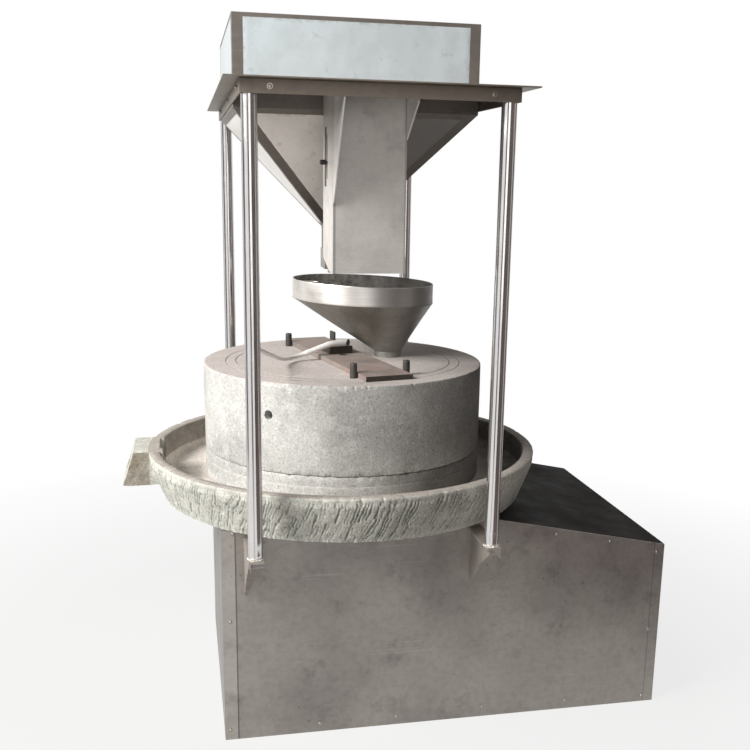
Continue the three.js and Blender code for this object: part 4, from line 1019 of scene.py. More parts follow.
class MILL_OT_basin(MillOperator, bpy.types.Operator):
    """Stone basin with chisel strokes on its wall and a rough spout block"""

    bl_idname = "mill.basin"
    bl_label = "Basin"

    def execute(self, context):
        foot, floor, top = span("basin_floor")[0], 556.0, span("basin")[1]
        edge, reach, root, bore, chamfer = top - 22, 491.0, 458.0, 464.0, 2.2
        eye, collar = 150.0, 165.0
        corner = [
            (eye, foot), (root, foot), (reach, edge), (reach, top - chamfer), (reach - chamfer, top),
            (bore + chamfer, top), (bore, top - chamfer), (bore - 3, floor + 9), (bore - 9, floor + 1.5),
            (bore - 24, floor), (collar, floor), (collar - 1, floor + 3), (eye + 1, floor + 3),
            (eye, floor + 2),
        ]
        steps = [4, 24, 4, 1, 1, 1, 3, 1, 1, 3, 1, 1, 1, 1]
        radius, height, u = turned_grid(dense(corner, steps), 1800)
        row = np.arange(radius.shape[1])[None, :]
        # The wall's rows follow the foot's four, and the rim's begin at its last rows.
        outer, rim = (row >= 4) & (row < 33), (row >= 30) & (row < 36)
        rise = height - foot
        share = np.clip(rise / (top - foot), 0, 1)
        strokes = self.strokes(u, rise, share, top - foot, reach)
        depth, marks, groove_shades = (np.where(outer, values, 0.0) for values in strokes)
        radius = radius - depth * math.cos(math.atan2(reach - root, edge - foot))
        chips = edge_noise(u, 260, 8) ** 6 * 3.0 + edge_noise(u, 40, 9) ** 3 * 0.9
        radius = radius - np.where(rim & (radius > 480), chips, 0.0)
        height = height - np.where(rim & (radius > 480), chips * 0.5, 0.0)
        basin = closed_grid("basin_stone", turned_points(radius, height), 48, cut=marks, score=groove_shades)
        carved(basin, [self.spout(top)], "UNION", 48)
        outlet = box_tool("outlet", (-600, 10, floor), (-437, 80, floor + 36))
        flat = box_tool("flat", (-464.2, -10, floor + 0.2), (-430, 100, top + 10))
        carved(basin, [outlet, flat], "DIFFERENCE", 48)
        dressed(basin, "frame", "basin_stone", "basin", "basin_floor")
        return {"FINISHED"}

    def strokes(self, u, rise, share, full, reach):
        """Depth of the slanting chisel strokes, how pale they are, and the painted shade in their grooves and
        holes, by place on the wall.
        """
        spacing, depth = sizes("stroke_spacing"), sizes("stroke_depth")
        count = int(round(2 * math.pi * reach / spacing))
        lean = 0.3 + 0.22 * smooth_noise(u, share, 11, 1, 21)
        row = np.floor(share * 3.1 + smooth_noise(u, share, 70, 2, 24) * 1.6)
        step = scatter(row * 91.7 + 3.1, 917.3)
        wander = smooth_noise(u, share, 120, 2, 22) * 1.3 + smooth_noise(u, share, 420, 9, 23) * 0.5
        phase = u * count - lean * rise / spacing + wander + step
        index = np.floor(phase)
        part = phase - index
        pick = scatter(index * 12.9898 + row * 78.233)
        groove = np.where(part < 0.3, part / 0.3, np.clip((1 - part) / 0.7, 0, 1)) ** 1.2
        strength = np.clip(pick * 1.35 - 0.15, 0.08, 1.0)
        top_fade = np.clip((full - 9 - rise) / 5, 0, 1)
        lumps = smooth_noise(u, share, 130, 4, 25) * 1.8 + smooth_noise(u, share, 640, 22, 26) * 1.1
        holes = np.clip(smooth_noise(u, share, 900, 36, 29) - 0.74, 0, 1) * 5.0
        body = groove * strength * depth + lumps * 0.8 + holes * top_fade
        broken = np.clip((9 - rise + 8 * edge_noise(u, 180, 27)) / 9, 0, 1)
        body = body * np.clip(top_fade + 0.08, 0, 1) + broken * 2.4 * smooth_noise(u, share, 500, 8, 28)
        bright = np.clip((1 - groove) * strength * top_fade * 0.9 + broken * 0.7, 0, 1)
        # Painted shade in the grooves and holes.
        dark = np.clip(groove * strength * 1.5 - 0.3 + holes * 0.6, 0, 1) * top_fade * (1 - broken)
        return body, bright, dark

    def spout(self, top):
        """Tapered block with broken faces and a level top."""
        mesh = bpy.data.meshes.new("spout")
        shape = bmesh.new()
        bmesh.ops.create_cube(shape, size=1.0)
        bmesh.ops.subdivide_edges(shape, edges=shape.edges[:], cuts=26, use_grid_fill=True)
        seed = Vector(np.random.default_rng(31).random(3) * 40)
        tall, root, width, level_top = 81.5, -456.0, 155.0, 0.98
        for vert in shape.verts:
            a, b, c = (k + 0.5 for k in vert.co)
            reach = -554.0 + 28.0 * c
            spread = 8.0 * (1 - c)
            x = root + (reach - root) * (1 - a)
            y = -45.0 - spread + (width + 2 * spread) * b
            z = top - tall + tall * c
            bite = 0.0
            if c < level_top:
                broad, fine = (abs(noise.noise(Vector((x, y, z)) / cell + seed)) for cell in (24.0, 7.0))
                bite = (2.2 * broad + 1.3 * fine) * min(1.0, (level_top - c) / 0.12)
            inward = (a < 0.01, (b < 0.01) - (b > 0.99), c < 0.01)
            vert.co = Vector([k + bite * step for k, step in zip((x, y, z), inward)]) * MM
        bmesh.ops.recalc_face_normals(shape, faces=shape.faces[:])
        shape.to_mesh(mesh)
        shape.free()
        piece = placed("spout", mesh)
        mark(piece, "cut", [0.15] * len(mesh.vertices))
        return piece


def painted_right_shade(points, start, end, mottle):
    """How much painted shade a mill stone gets at each point: none on its left, growing towards its right
    side as the camera sees it.
    """
    toward = (points[..., 0] * 0.987 - points[..., 1] * 0.16) / 350.0
    return np.clip((toward - start + (mottle - 0.5) * 0.2) / (end - start), 0, 1)


class MILL_OT_upper_stone(MillOperator, bpy.types.Operator):
    """Upper mill stone with tool marks, two scribed circles, chipped edges and drilled holes"""

    bl_idname = "mill.upper_stone"
    bl_label = "Upper Stone"

    def execute(self, context):
        foot, top = span("upper_stone")
        bore, reach, edge, rows = 32.0, 350.0, 2.2, 30
        inner, outer = 270.0, 295.0
        scribes = [268.6, 269.4, inner, 270.6, 271.4, 293.8, 294.5, outer, 295.5, 296.2]
        grooves = [r for r in scribes if min(abs(r - inner), abs(r - outer)) < 0.7]
        face = [(r, top) for r in (bore, 120.0, 200.0, *scribes, 320.0)]
        profile = (
            [(bore, foot), (150.0, foot), (300.0, foot), (347.8, foot), (349.4, foot + 0.8)]
            + [(reach, foot + edge + (top - foot - 2 * edge) * k / rows) for k in range(rows + 1)]
            + [(349.4, top - 0.8), (347.8, top), (344.0, top)]
            + face[::-1]
        )
        radius, height, u = turned_grid(profile, 1200)
        scribe = np.isin(radius, grooves) & (height > top - 0.5)
        share = np.clip((height - foot) / (top - foot), 0, 1)
        side = radius > 346
        ribs = np.abs(np.sin((u * 390 + smooth_noise(u, share, 120, 4, 41) * 1.2) * math.pi))
        keep = smooth_noise(u, share, 60, 5, 42)
        pits = np.clip(smooth_noise(u, share, 620, 60, 43) - 0.72, 0, 1) * 3.0
        waves = smooth_noise(u, share, 24, 3, 44) * 0.8
        depth = sizes("dressing_depth")
        cut = depth * (0.45 * ribs * keep + pits) + waves
        chips = edge_noise(u, 300, 45) ** 7 * sizes("chip_depth") * 1.6
        spalls = edge_noise(u, 150, 47) ** 3 * 3.4 + edge_noise(u, 480, 48) ** 3 * 2.0
        low = side & (height < foot + 5.5)
        radius = radius - np.where(side, cut, 0.0) - np.where(side & (top - height < 3.0), chips, 0.0)
        radius = radius - np.where(low, spalls * np.clip((foot + 7 - height) / 5, 0, 1), 0.0)
        fade = np.clip(edge_noise(u, 7, 46) * 1.8 - 0.2, 0.15, 1)
        height = height - np.where(scribe, sizes("scribe_depth") * fade, 0.0)
        marks = np.where(side, np.clip(keep * ribs * 0.5 + pits * 0.1, 0, 1), 0.0)
        # Painted shade in the scribed circles.
        groove_shades = np.where(scribe, fade, 0.0)
        points = turned_points(radius, height)
        # Painted shade on the upper stone's right side.
        damp = painted_right_shade(points, 0.3, 1.0, smooth_noise(u, share, 14, 3, 49))
        stone = closed_grid("upper_mill_stone", points, 40, cut=marks, score=groove_shades, damp=damp)
        eye_radius, peg_radius, lift_radius, lift_height, past = 31, 8.8, 11, foot + 133.7, 5
        tools = [rod_tool("eye", (*FEED_EYE, foot - past), (*FEED_EYE, top + past), eye_radius)]
        for node in PEGS:
            x, y, _ = middle(node)
            tools.append(rod_tool("peg_hole", (x, y, span(node)[0]), (x, y, top + past), peg_radius))
        for turn in np.radians((-127.8, 52.2)):
            ends = ((r * math.cos(turn), r * math.sin(turn), lift_height) for r in (290, 360))
            tools.append(rod_tool("lift_hole", *ends, lift_radius))
        carved(stone, tools)
        dressed(stone, "upper_stone", "mill_stone", "upper_stone")
        return {"FINISHED"}


class MILL_OT_lower_stone(MillOperator, bpy.types.Operator):
    """Lower mill stone with a worn ridge and a chipped grinding edge"""

    bl_idname = "mill.lower_stone"
    bl_label = "Lower Stone"

    def execute(self, context):
        foot, top = span("lower_stone")
        bore, reach, ground = 25.3, 350, 348.6
        profile = [
            (bore, foot), (200, foot), (348, foot), (reach, foot + 2), (reach, foot + 20),
            (reach, foot + 36), (reach, foot + 44), (349.6, foot + 45), (ground, foot + 45.6),
            (ground, foot + 50), (ground, foot + 56), (ground, foot + 62), (348.4, top - 4),
            (347.6, top - 1.6), (345.4, top - 0.3), (343, top), (180, top), (bore, top),
        ]
        radius, height, u = turned_grid(profile, 1080)
        share = (height - foot) / (top - foot)
        side = radius > 342
        pits = np.clip(smooth_noise(u, share, 520, 18, 52) - 0.6, 0, 1) * 1.6
        cut = smooth_noise(u, share, 40, 2, 51) * 0.7 + pits
        chips = edge_noise(u, 280, 53) ** 5 * 3.4 + edge_noise(u, 90, 54) ** 4 * 1.6
        radius = radius - np.where(side, cut, 0) - np.where(side & (height > top - 5), chips, 0)
        height = height - np.where((radius > 338) & (height > top - 3), chips * 0.7, 0)
        points = turned_points(radius, height)
        # Painted shade on the lower stone's right side.
        damp = painted_right_shade(points, 0.1, 0.62, smooth_noise(u, share, 18, 2, 55))
        stone = closed_grid("lower_mill_stone", points, 40, cut=np.where(side, share * 0.2, 0), damp=damp)
        dressed(stone, "lower_stone", "mill_stone", "lower_stone")
        return {"FINISHED"}


# ---------------------------------------------------------------- parts on the upper stone


class MILL_OT_pegs(MillOperator, bpy.types.Operator):
    """Round pegs with worn, rounded tops"""

    bl_idname = "mill.pegs"
    bl_label = "Pegs"

    def execute(self, context):
        for node in PEGS:
            x, y, _ = middle(node)
            foot, top = span(node)
            rows = [(foot, 7.6), (foot + 1, 8.5)]
            rows += [(top - 12, 8.5), (top - 5, 8.35), (top - 1.4, 8.2), (top - 0.5, 7.6), (top, 6.4)]
            heights, radii = zip(*rows)
            rings = swept([(x, y, z) for z in heights], radii, 40)
            rings[..., 2] = np.array(heights)[:, None]
            peg = capped(node.replace("peg", "worn_peg"), rings)
            dressed(peg, "upper_stone", "rusty_steel", node, finish="peg_steel")
        return {"FINISHED"}


def stepped(start, toward, distance):
    """The point at a distance from a start towards another point."""
    start, toward = np.asarray(start, dtype=float), np.asarray(toward, dtype=float)
    return start + (toward - start) / np.linalg.norm(toward - start) * distance


def corner_curve(points, setbacks, steps):
    """A line through points, each inner corner rounded between its setbacks by a quadratic curve."""
    points = [np.asarray(p, dtype=float) for p in points]
    path = [points[0]]
    for corner, following, setback in zip(points[1:], points[2:], setbacks):
        before = stepped(corner, path[-1], setback[0])
        after = stepped(corner, following, setback[1])
        for t in np.linspace(0, 1, steps):
            path.append((1 - t) ** 2 * before + 2 * t * (1 - t) * corner + t * t * after)
    path.append(points[-1])
    return np.array(path)


def evenly(path, count):
    """The path with its points spread evenly along it."""
    lengths = np.concatenate([[0], np.cumsum(np.linalg.norm(np.diff(path, axis=0), axis=1))])
    along = np.linspace(0, lengths[-1], count)
    return np.stack([np.interp(along, lengths, path[:, k]) for k in range(3)], axis=-1)


class MILL_OT_torque_arm(MillOperator, bpy.types.Operator):
    """Tapered tube cut aslant on the arm block, and the bent rod to the front left post"""

    bl_idname = "mill.torque_arm"
    bl_label = "Torque Arm"

    def execute(self, context):
        wide, narrow, wall, slant = 8.5, 6.7, 1.4, math.tan(math.radians(52))
        height = span("arm_block")[1] + 0.3 + wide
        start, bend = (26.0, 25.0, height), (-33.0, 1.0, height)
        knee = (-150.0, -22.0, span("upper_stone")[1] + 2.0)
        end = (middle("post_front_left")[0] + 5.0, corners("post_front_left")[1][1] + 1.5, 950.0)
        count, cut_rings = 40, 13
        path = evenly(corner_curve([start, bend, stepped(knee, bend, 52.0)], [(10.0, 10.0)], 8), count)
        outer = np.linspace(wide, narrow, count)
        outer[-3:] -= (0.0, 0.2, 0.7)
        rings = swept(path, outer, 36, bore=outer - wall)
        along = (path[1] - path[0]) / np.linalg.norm(path[1] - path[0])
        side = np.array((along[1], -along[0], 0.0))
        side = side if side[1] < 0 else -side
        for ring in range(cut_rings):
            for row in (ring, len(rings) - 1 - ring):
                reach = np.maximum(wide + (rings[row] - path[ring]) @ side, 0)
                rings[row] += along * (reach * slant * (1 - ring / cut_rings))[:, None]
        # Painted shade on the bore's rings, at double strength.
        bore = np.zeros(rings.shape[:2])
        bore[count:] = 2.0
        tube = closed_grid("arm_tube_cut", rings, 40, inside=bore)
        dressed(tube, "upper_stone", "bright_steel", "arm_tube", finish="arm_steel")
        path = evenly(corner_curve([stepped(knee, bend, 92.0), knee, end], [(50.0, 120.0)], 40), 90)
        radii = np.full(90, 5.0)
        radii[0] = radii[-1] = 4.2
        rod = capped("arm_rod_bent", swept(path, radii, 28))
        dressed(rod, "upper_stone", "bright_steel", "arm_rod", finish="arm_steel")
        return {"FINISHED"}


def funnel_ring(centre, radius, height, slope, columns):
    """A circle of points whose height falls along X."""
    angle = turns(columns)
    dx = radius * np.cos(angle)
    return np.stack([centre[0] + dx, centre[1] + radius * np.sin(angle), height - dx * slope], axis=-1)


class MILL_OT_funnel(MillOperator, bpy.types.Operator):
    """Oblique cone with dents, rolled hoop and a wire loop"""

    bl_idname = "mill.funnel"
    bl_label = "Funnel"

    def execute(self, context):
        columns, slope, wall = 192, math.tan(math.radians(2.0)), 1.6
        spout, mouth, hoop_rise = 35.0, 181.0, 48.0
        stone_top = span("upper_stone")[1]
        joint, neck = stone_top + 146.0, stone_top + 15.0
        eye, rim = np.array(FEED_EYE), np.array((60.0, 60.0))
        angle = np.arange(columns) / columns
        skins = []
        for inset in (0.0, wall):
            rows = [funnel_ring(eye, spout - inset, stone_top, 0, columns)]
            for t in np.arange(15) / 14:
                centre, radius = eye + (rim - eye) * t, spout + (mouth - spout) * t - inset
                ring = funnel_ring(centre, radius, neck + (joint - neck) * t, slope * t, columns)
                dent = smooth_noise(angle, np.full(columns, t), 14, 4, 61) - 0.5
                away = ring - (*centre, 0)
                away[:, 2] = 0
                away /= np.linalg.norm(away, axis=1)[:, None]
                rows.append(ring - away * (np.clip(dent, 0, 1) * 2.4 * math.sin(math.pi * t))[:, None])
            skins.append(rows)
        cone = closed_grid("funnel_cone_rolled", np.array(skins[0] + skins[1][::-1]))
        dressed(cone, "upper_stone", "dark_steel", "funnel_cone", finish="funnel_cone")

        heights = (0, 1.0, 4, 12, 24, 36, 43, 45.5, 47, hoop_rise)
        skins = []
        for inset, lip in ((0.0, 0.6), (wall, 0.0)):
            rows = []
            for z in heights:
                wobble = smooth_noise(angle, np.full(columns, z / hoop_rise), 16, 2, 62) * 0.9
                radius = mouth - inset - wobble - (lip if z in (0, hoop_rise) else 0.0)
                rows.append(funnel_ring(rim, radius, joint + z, slope, columns))
            skins.append(rows)
        hoop_points = np.array(skins[0] + skins[1][::-1])
        # Painted shade on the hoop's inner face.
        within = np.zeros(hoop_points.shape[:2])
        within[len(heights):] = 1.0
        hoop = closed_grid("funnel_hoop_rolled", hoop_points, inside=within)
        dressed(hoop, "upper_stone", "bright_steel", "funnel_hoop", finish="funnel_hoop")
        self.wire(rim, mouth - wall, joint + hoop_rise - 3.5, slope)
        return {"FINISHED"}

    def wire(self, rim, bore, height, slope):
        """A bent wire loop across the hoop's rear, with its feet on the bore."""
        reach = bore * math.cos(math.pi / 48) - 0.3
        half = 17.0
        foot = math.sqrt(reach**2 - half**2)
        line = [(foot, -half), (foot - 31, -half), (reach - 62, 0), (foot - 31, half), (foot, half)]
        turn = math.radians(200)
        curve = bpy.data.curves.new("wire_path", "CURVE")
        curve.dimensions = "3D"
        spline = curve.splines.new("NURBS")
        spline.points.add(len(line) - 1)
        for point, (x, y) in zip(spline.points, line):
            gx = x * math.cos(turn) - y * math.sin(turn)
            gy = x * math.sin(turn) + y * math.cos(turn)
            point.co = ((rim[0] + gx) * MM, (rim[1] + gy) * MM, (height - gx * slope) * MM, 1.0)
        spline.use_endpoint_u = True
        spline.order_u = 4
        curve.resolution_u = 16
        curve.bevel_depth = 1.5 * MM
        curve.bevel_resolution = 4
        curve.use_fill_caps = True
        path = placed("wire_path", curve)
        mesh = evaluated_mesh(path)
        bpy.data.objects.remove(path)
        piece = placed("funnel_wire_loop", mesh)
        mesh.polygons.foreach_set("use_smooth", [True] * len(mesh.polygons))
        dressed(piece, "upper_stone", "bright_steel", "funnel_wire", finish="funnel_hoop")


# ---------------------------------------------------------------- posts, hopper and frame


class MILL_OT_posts(MillOperator, bpy.types.Operator):
    """Four chromed tubes, bare below the end of their wrap"""

    bl_idname = "mill.posts"
    bl_label = "Posts"

    def execute(self, context):
        bore, bare, wrapped = 14.0, 15.7, 16.0
        for name in CORNERS:
            foot, top = span(f"post_{name}")
            seed = sum(ord(c) for c in name)
            profile = [(bore, foot), (bare - 0.3, foot), (bare, foot + 0.6), (bare, foot + 24)]
            profile += [(wrapped, foot + 25), (wrapped, top), (bore, top)]
            radius, height, u = turned_grid(dense(profile, [1, 1, 2, 1, 60, 1, 1]), 64)
            wear = smooth_noise(u, (height - foot) / (top - foot), 6, 30, seed) * 0.08
            wrap = (radius > 15.9) & (height < top - 1)
            wrap_end = (height > foot + 20) & (height < foot + 26) & (radius > 15)
            height = height + np.where(wrap_end, edge_noise(u, 9, seed + 1) * 9, 0)
            radius = radius - np.where(wrap, wear, 0)
            points = turned_points(radius, height, middle(f"post_{name}"))
            post = closed_grid(f"chrome_post_{name}", points, 30)
            dressed(post, "frame", "bright_steel", f"post_{name}", finish="post_chrome")
        return {"FINISHED"}


def film_patch(name, corner, along, up, normal, size, spacing, lift, seed):
    """Wrinkled film over a flat rectangle of sheet."""
    corner, along, up, normal = (np.asarray(v, dtype=float) for v in (corner, along, up, normal))
    columns, rows = (max(3, int(length / spacing) + 1) for length in size)
    s, t = np.meshgrid(np.linspace(0, 1, columns), np.linspace(0, 1, rows))
    edge = np.minimum(np.minimum(s, 1 - s) * size[0], np.minimum(t, 1 - t) * size[1])
    wrinkle = smooth_noise(s, t, max(4, columns // 5), max(4, rows // 5), seed)
    fine = smooth_noise(s, t, max(6, columns // 2), max(6, rows // 2), seed + 1)
    rise = lift * (0.3 + wrinkle * 0.9 + fine * 0.3) * np.clip(edge / 6, 0.15, 1)
    flat = corner + along * (s * size[0])[..., None] + up * (t * size[1])[..., None]
    front = flat + normal * rise[..., None]
    back = front - normal * np.minimum(rise, sizes("film_thickness"))[..., None] * 0.9
    return film_skin(name, front, back, edge)


def quad_film(name, slope, normal, margin, spacing, lift, seed):
    """Wrinkled film on a slope, given by the ends of its upper and lower edge, set in by a margin."""
    a, b, c, d = slope
    width = np.linalg.norm(b - a)
    fall = np.linalg.norm((c + d) / 2 - (a + b) / 2)
    columns, rows = int(width / spacing), int(fall / spacing)
    s, t = np.meshgrid(np.linspace(0, 1, columns), np.linspace(0, 1, rows))
    t = margin / fall * 0.6 + t * (1 - margin / fall * 1.2)
    left = a + (c - a) * t[..., None]
    right = b + (d - b) * t[..., None]
    wide = np.linalg.norm(right - left, axis=-1)
    inset = np.minimum(margin * (0.9 + 0.2 * edge_noise(t, 5, seed + 2)) / wide, 0.46)
    share = inset + s * (1 - 2 * inset)
    wrinkle = smooth_noise(s, t, max(4, columns // 5), max(4, rows // 5), seed)
    edge = np.minimum(np.minimum(s, 1 - s) * wide, np.minimum(t - t.min(), t.max() - t) * fall)
    rise = lift * (0.4 + wrinkle) * np.clip(edge / 6, 0.2, 1)
    front = left + (right - left) * share[..., None] + normal * rise[..., None]
    back = front - normal * (rise * 0.8)[..., None]
    return film_skin(name, front, back, edge)


def film_skin(name, front, back, edge):
    """Closed thin skin between two grids, with the distance from its edge stored at each point."""
    rows, columns, _ = front.shape
    count = rows * columns
    verts = np.concatenate([front.reshape(-1, 3), back.reshape(-1, 3)])
    faces = grid_faces(rows, columns, False, False).tolist()
    under = [tuple(i + count for i in reversed(face)) for face in faces]
    border = [*range(columns)] + [i * columns + columns - 1 for i in range(1, rows)]
    border += [(rows - 1) * columns + j for j in range(columns - 2, -1, -1)]
    border += [i * columns for i in range(rows - 2, 0, -1)]
    sides = [(a, a + count, b + count, b) for a, b in zip(border, border[1:] + border[:1])]
    faces = [tuple(f) for f in faces] + under + sides
    piece = new_object(name, verts, outward(verts, faces), 50)
    mark(piece, "edge", [np.clip(edge / 18, 0, 1)] * 2)
    return piece


class MILL_OT_films(MillOperator, bpy.types.Operator):
    """Protective film left on the hopper's box and pyramid"""

    bl_idname = "mill.films"
    bl_label = "Protective Film"

    def execute(self, context):
        (x0, y0, _), (x1, y1, top) = corners("hopper")
        foot = span("top_sheet")[1] + 1.0
        wide_margin, margin, spacing, lift = 24.5, 20.0, 6.0, 0.5
        tall, broad, deep = top - 9.0 - foot, x1 - x0 - 2 * wide_margin, y1 - y0 - 2 * margin
        sides = (
            ("front", (x0 + wide_margin, y0, foot), (1, 0, 0), (0, -1, 0), broad),
            ("rear", (x1 - wide_margin, y1, foot), (-1, 0, 0), (0, 1, 0), broad),
            ("left", (x0, y1 - margin, foot), (0, -1, 0), (-1, 0, 0), deep),
            ("right", (x1, y0 + margin, foot), (0, 1, 0), (1, 0, 0), deep),
        )
        for index, (name, corner, along, normal, width) in enumerate(sides):
            place = (corner, along, (0, 0, 1), normal, (width, tall))
            film = film_patch(f"film_box_{name}", *place, spacing, lift, 71 + index * 3)
            # The left face's film is the darker copy, painted shade.
            dressed(film, "frame", "hopper_steel", finish="film_left" if name == "left" else "film")
        self.pyramid(x0, x1, y0, y1)
        return {"FINISHED"}

    def pyramid(self, x0, x1, y0, y1):
        """Film on the four slopes, set in from their folded edges."""
        bend, neck, half, margin, spacing, lift = 1436.0, 1169.0, 37, 26.0, 8.0, 0.5
        centre = (y0 + y1) / 2
        rim = [(x0, y0), (x1, y0), (x1, y1), (x0, y1)]
        root = [(-half, centre - half), (half, centre - half), (half, centre + half), (-half, centre + half)]
        for index, name in enumerate(("front", "right", "rear", "left")):
            a, b = (np.array((*rim[k % 4], bend)) for k in (index, index + 1))
            c, d = (np.array((*root[k % 4], neck)) for k in (index, index + 1))
            normal = np.cross(b - a, a - c)
            normal /= np.linalg.norm(normal)
            if np.dot(normal, (a + b) / 2 - (0, centre, (bend + neck) / 2)) < 0:
                normal = -normal
            if name == "front":
                worn = ((a + b) / 2, b, (c + d) / 2, d)
                b, d = (a + b) / 2, (c + d) / 2
                film = quad_film("film_slope_worn", worn, normal, margin, spacing, lift, 107)
                dressed(film, "frame", "hopper_steel", finish="film_worn")
            seed = 91 + index * 4
            film = quad_film(f"film_slope_{name}", (a, b, c, d), normal, margin, spacing, lift, seed)
            dressed(film, "frame", "hopper_steel", finish="film_slope")


# ---------------------------------------------------------------- kept CAD nodes and fasteners


# CAD nodes that are shown as they are, by finish.
PLAIN_NODES = {
    "panel_steel": ("base_plate", "front_panel", "rear_panel", "right_panel", "top_plate"),
    "fold_steel": ("left_panel",),
    "cover_steel": ("motor_cover",),
    "hopper_bare": ("hopper",),
    "housing_steel": ("gate_housing",),
    "gusset_steel": ("left_gusset", "right_gusset"),
    "hopper_steel": ("choke_sleeve", "gate_arm"),
    "strip_steel": ("slot_strip",),
    "bright_steel": ("scraper", "main_shaft", "gearbox_shaft"),
    "frame_steel": (*(f"upright_{name}" for name in CORNERS), "top_band", "top_sheet", "motor_mount"),
    "bracket_steel": tuple(f"post_bracket_{name}" for name in CORNERS),
    "rusty_steel": ("crossbar",),
    "peg_steel": ("angle_clip",),
    "dark_steel": ("arm_block", "adjusting_screw"),
    "cast_iron": ("turntable", "driven_pulley", "motor_pulley", "upper_bearing", "foot_bearing"),
    "motor_paint": ("gearbox", "drive_motor", "motor_fan_cover", "terminal_box"),
    "rubber": ("drive_belt",),
    "black_plastic": ("gate_knob",),
}
# Radius of the edges of cast and cut parts, in millimetres; the others have the sheet's.
EDGE_ROUND = {
    "crossbar": 1.6, "arm_block": 1.8, "angle_clip": 1.0, "gearbox": 6.0, "terminal_box": 3.0,
    "gate_knob": 0.6, "turntable": 2.0, "driven_pulley": 1.0, "motor_pulley": 0.8, "drive_motor": 1.5,
    "motor_fan_cover": 3.0, "upper_bearing": 1.5, "foot_bearing": 1.5, "adjusting_screw": 0.4,
    "main_shaft": 0.8, "drive_belt": 0.8,
}


class MILL_OT_cad_parts(MillOperator, bpy.types.Operator):
    """Finishes and rounded edges for the CAD parts that are kept"""

    bl_idname = "mill.cad_parts"
    bl_label = "Kept Parts"

    def execute(self, context):
        for slot, names in PLAIN_NODES.items():
            for name in names:
                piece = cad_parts[name]
                for entry in piece.material_slots:
                    entry.link = "OBJECT"
                    entry.material = finish_for(slot)
                weld = piece.modifiers.new("Weld", "WELD")
                weld.merge_threshold = 0.02 * MM
                bevel = piece.modifiers.new("Bevel", "BEVEL")
                bevel.width = EDGE_ROUND.get(name, sizes("edge_round")) * MM
                bevel.segments = 3
                bevel.limit_method = "ANGLE"
                bevel.angle_limit = math.radians(38)
                bevel.harden_normals = True
                bevel.use_clamp_overlap = True
        return {"FINISHED"}


class MILL_OT_fasteners(MillOperator, bpy.types.Operator):
    """Screws on the panels, bolts on the band and weld drops at the frame"""

    bl_idname = "mill.fasteners"
    bl_label = "Screws, Bolts and Welds"

    def execute(self, context):
        places = [
            (-302, 510), (-311, 298), (-316, 25), (-105, 21), (82, 21), (298, 25), (514, 22), (723, 16),
            (726, 199), (733, 405), (607, 440), (468, 466),
        ]
        front, rear = corners("front_panel")[0][1] - 0.2, corners("rear_panel")[1][1] + 0.2
        points = [(x, y, z) for y in (front, rear) for x, z in places]
        aims = [(0, way, 0) for way in (-1, 1) for _ in places]
        screws = screw_pattern().run("panel_screws", points, aims)
        dressed(screws, "frame", "bright_steel", finish="bolt_steel")

        (x0, y0, _), (x1, y1, _) = corners("top_band")
        z = middle("top_band")[2]
        bolts = [((x, y, z), (0, way, 0)) for x in (-222.0, 222.0) for y, way in ((y0, -1), (y1, 1))]
        bolts += [((x, y, z), (way, 0, 0)) for y in (-430.0, -60.0, 320.0) for x, way in ((x0, -1), (x1, 1))]
        heads = bolt_pattern().run("band_bolts", *zip(*bolts))
        dressed(heads, "frame", "bright_steel", finish="bolt_steel")

        drops, reach = [], 16.9
        for name in CORNERS:
            x, y, _ = middle(f"post_{name}")
            height = span(f"post_bracket_{name}")[1] + 0.6
            drops += [(x + reach * math.cos(turn), y + reach * math.sin(turn), height) for turn in turns(30)]
        beads = bead_pattern().run("post_welds", drops, [(0, 0, 1)] * len(drops))
        dressed(beads, "frame", "bright_steel", finish="weld")
        return {"FINISHED"}


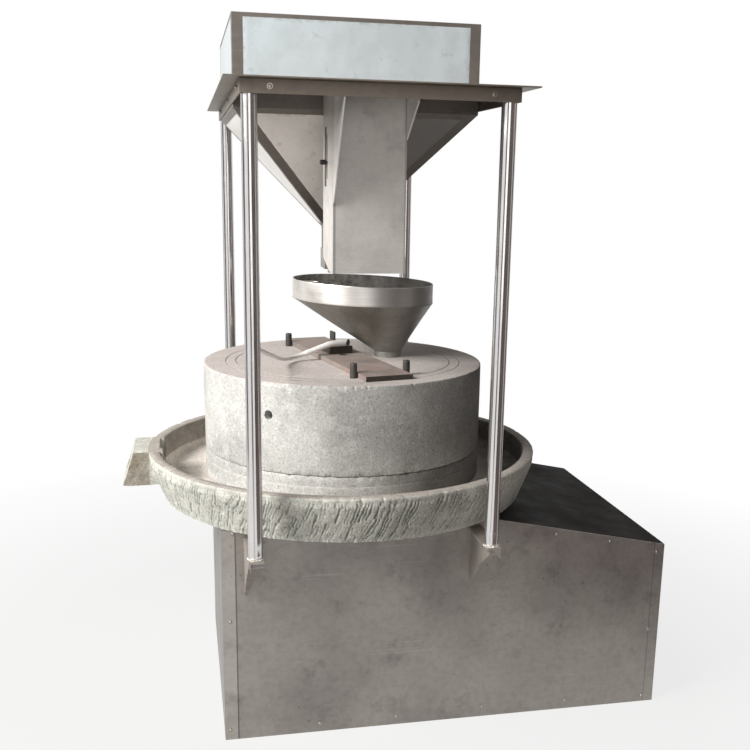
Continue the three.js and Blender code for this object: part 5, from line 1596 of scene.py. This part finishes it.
class MILL_OT_motor_ribs(MillOperator, bpy.types.Operator):
    """Cooling ribs on the motor inside the cabinet"""

    bl_idname = "mill.motor_ribs"
    bl_label = "Motor Ribs"

    def execute(self, context):
        low, high = corners("drive_motor")
        x, _, z = middle("motor_fan_cover")
        start, end, reach = low[1] + 18.0, high[1] - 6.0, 68.0
        angles = (2 * math.pi * (k + 0.5) / 30 for k in range(30))
        aims = [(math.cos(turn), 0.0, math.sin(turn)) for turn in angles if math.sin(turn) < 0.8]
        places = [(x + reach * c, (start + end) / 2, z + reach * s) for c, _, s in aims]
        values = {"Rib Length": (end - start) * MM, "Rib Height": 0.009}
        dressed(rib_pattern().run("motor_ribs", places, aims, values), "frame", "motor_paint")
        return {"FINISHED"}


class MILL_PT_panel(bpy.types.Panel):
    """Lists the steps that dress the stone mill"""

    bl_idname = "MILL_PT_panel"
    bl_label = "Stone Mill"
    bl_space_type = "VIEW_3D"
    bl_region_type = "UI"
    bl_category = "Stone Mill"

    def draw(self, context):
        layout = self.layout
        for operator in OPERATORS:
            layout.operator(operator.bl_idname)
        for group in (context.scene.mill_sizes, context.scene.mill_colours):
            box = layout.box()
            for key in group.__annotations__:
                box.prop(group, key)


OPERATORS = (
    MILL_OT_stage,
    MILL_OT_cad_parts,
    MILL_OT_basin,
    MILL_OT_lower_stone,
    MILL_OT_upper_stone,
    MILL_OT_pegs,
    MILL_OT_torque_arm,
    MILL_OT_funnel,
    MILL_OT_posts,
    MILL_OT_films,
    MILL_OT_fasteners,
    MILL_OT_motor_ribs,
)
CLASSES = (MillColours, MillSizes, *OPERATORS, MILL_PT_panel)


def register():
    for cls in CLASSES:
        bpy.utils.register_class(cls)
    bpy.types.Scene.mill_colours = bpy.props.PointerProperty(type=MillColours)
    bpy.types.Scene.mill_sizes = bpy.props.PointerProperty(type=MillSizes)


def unregister():
    del bpy.types.Scene.mill_sizes
    del bpy.types.Scene.mill_colours
    for cls in reversed(CLASSES):
        bpy.utils.unregister_class(cls)


def main():
    register()
    for operator in OPERATORS:
        group, name = operator.bl_idname.split(".")
        getattr(getattr(bpy.ops, group), name)()


if __name__ == "__main__":
    main()
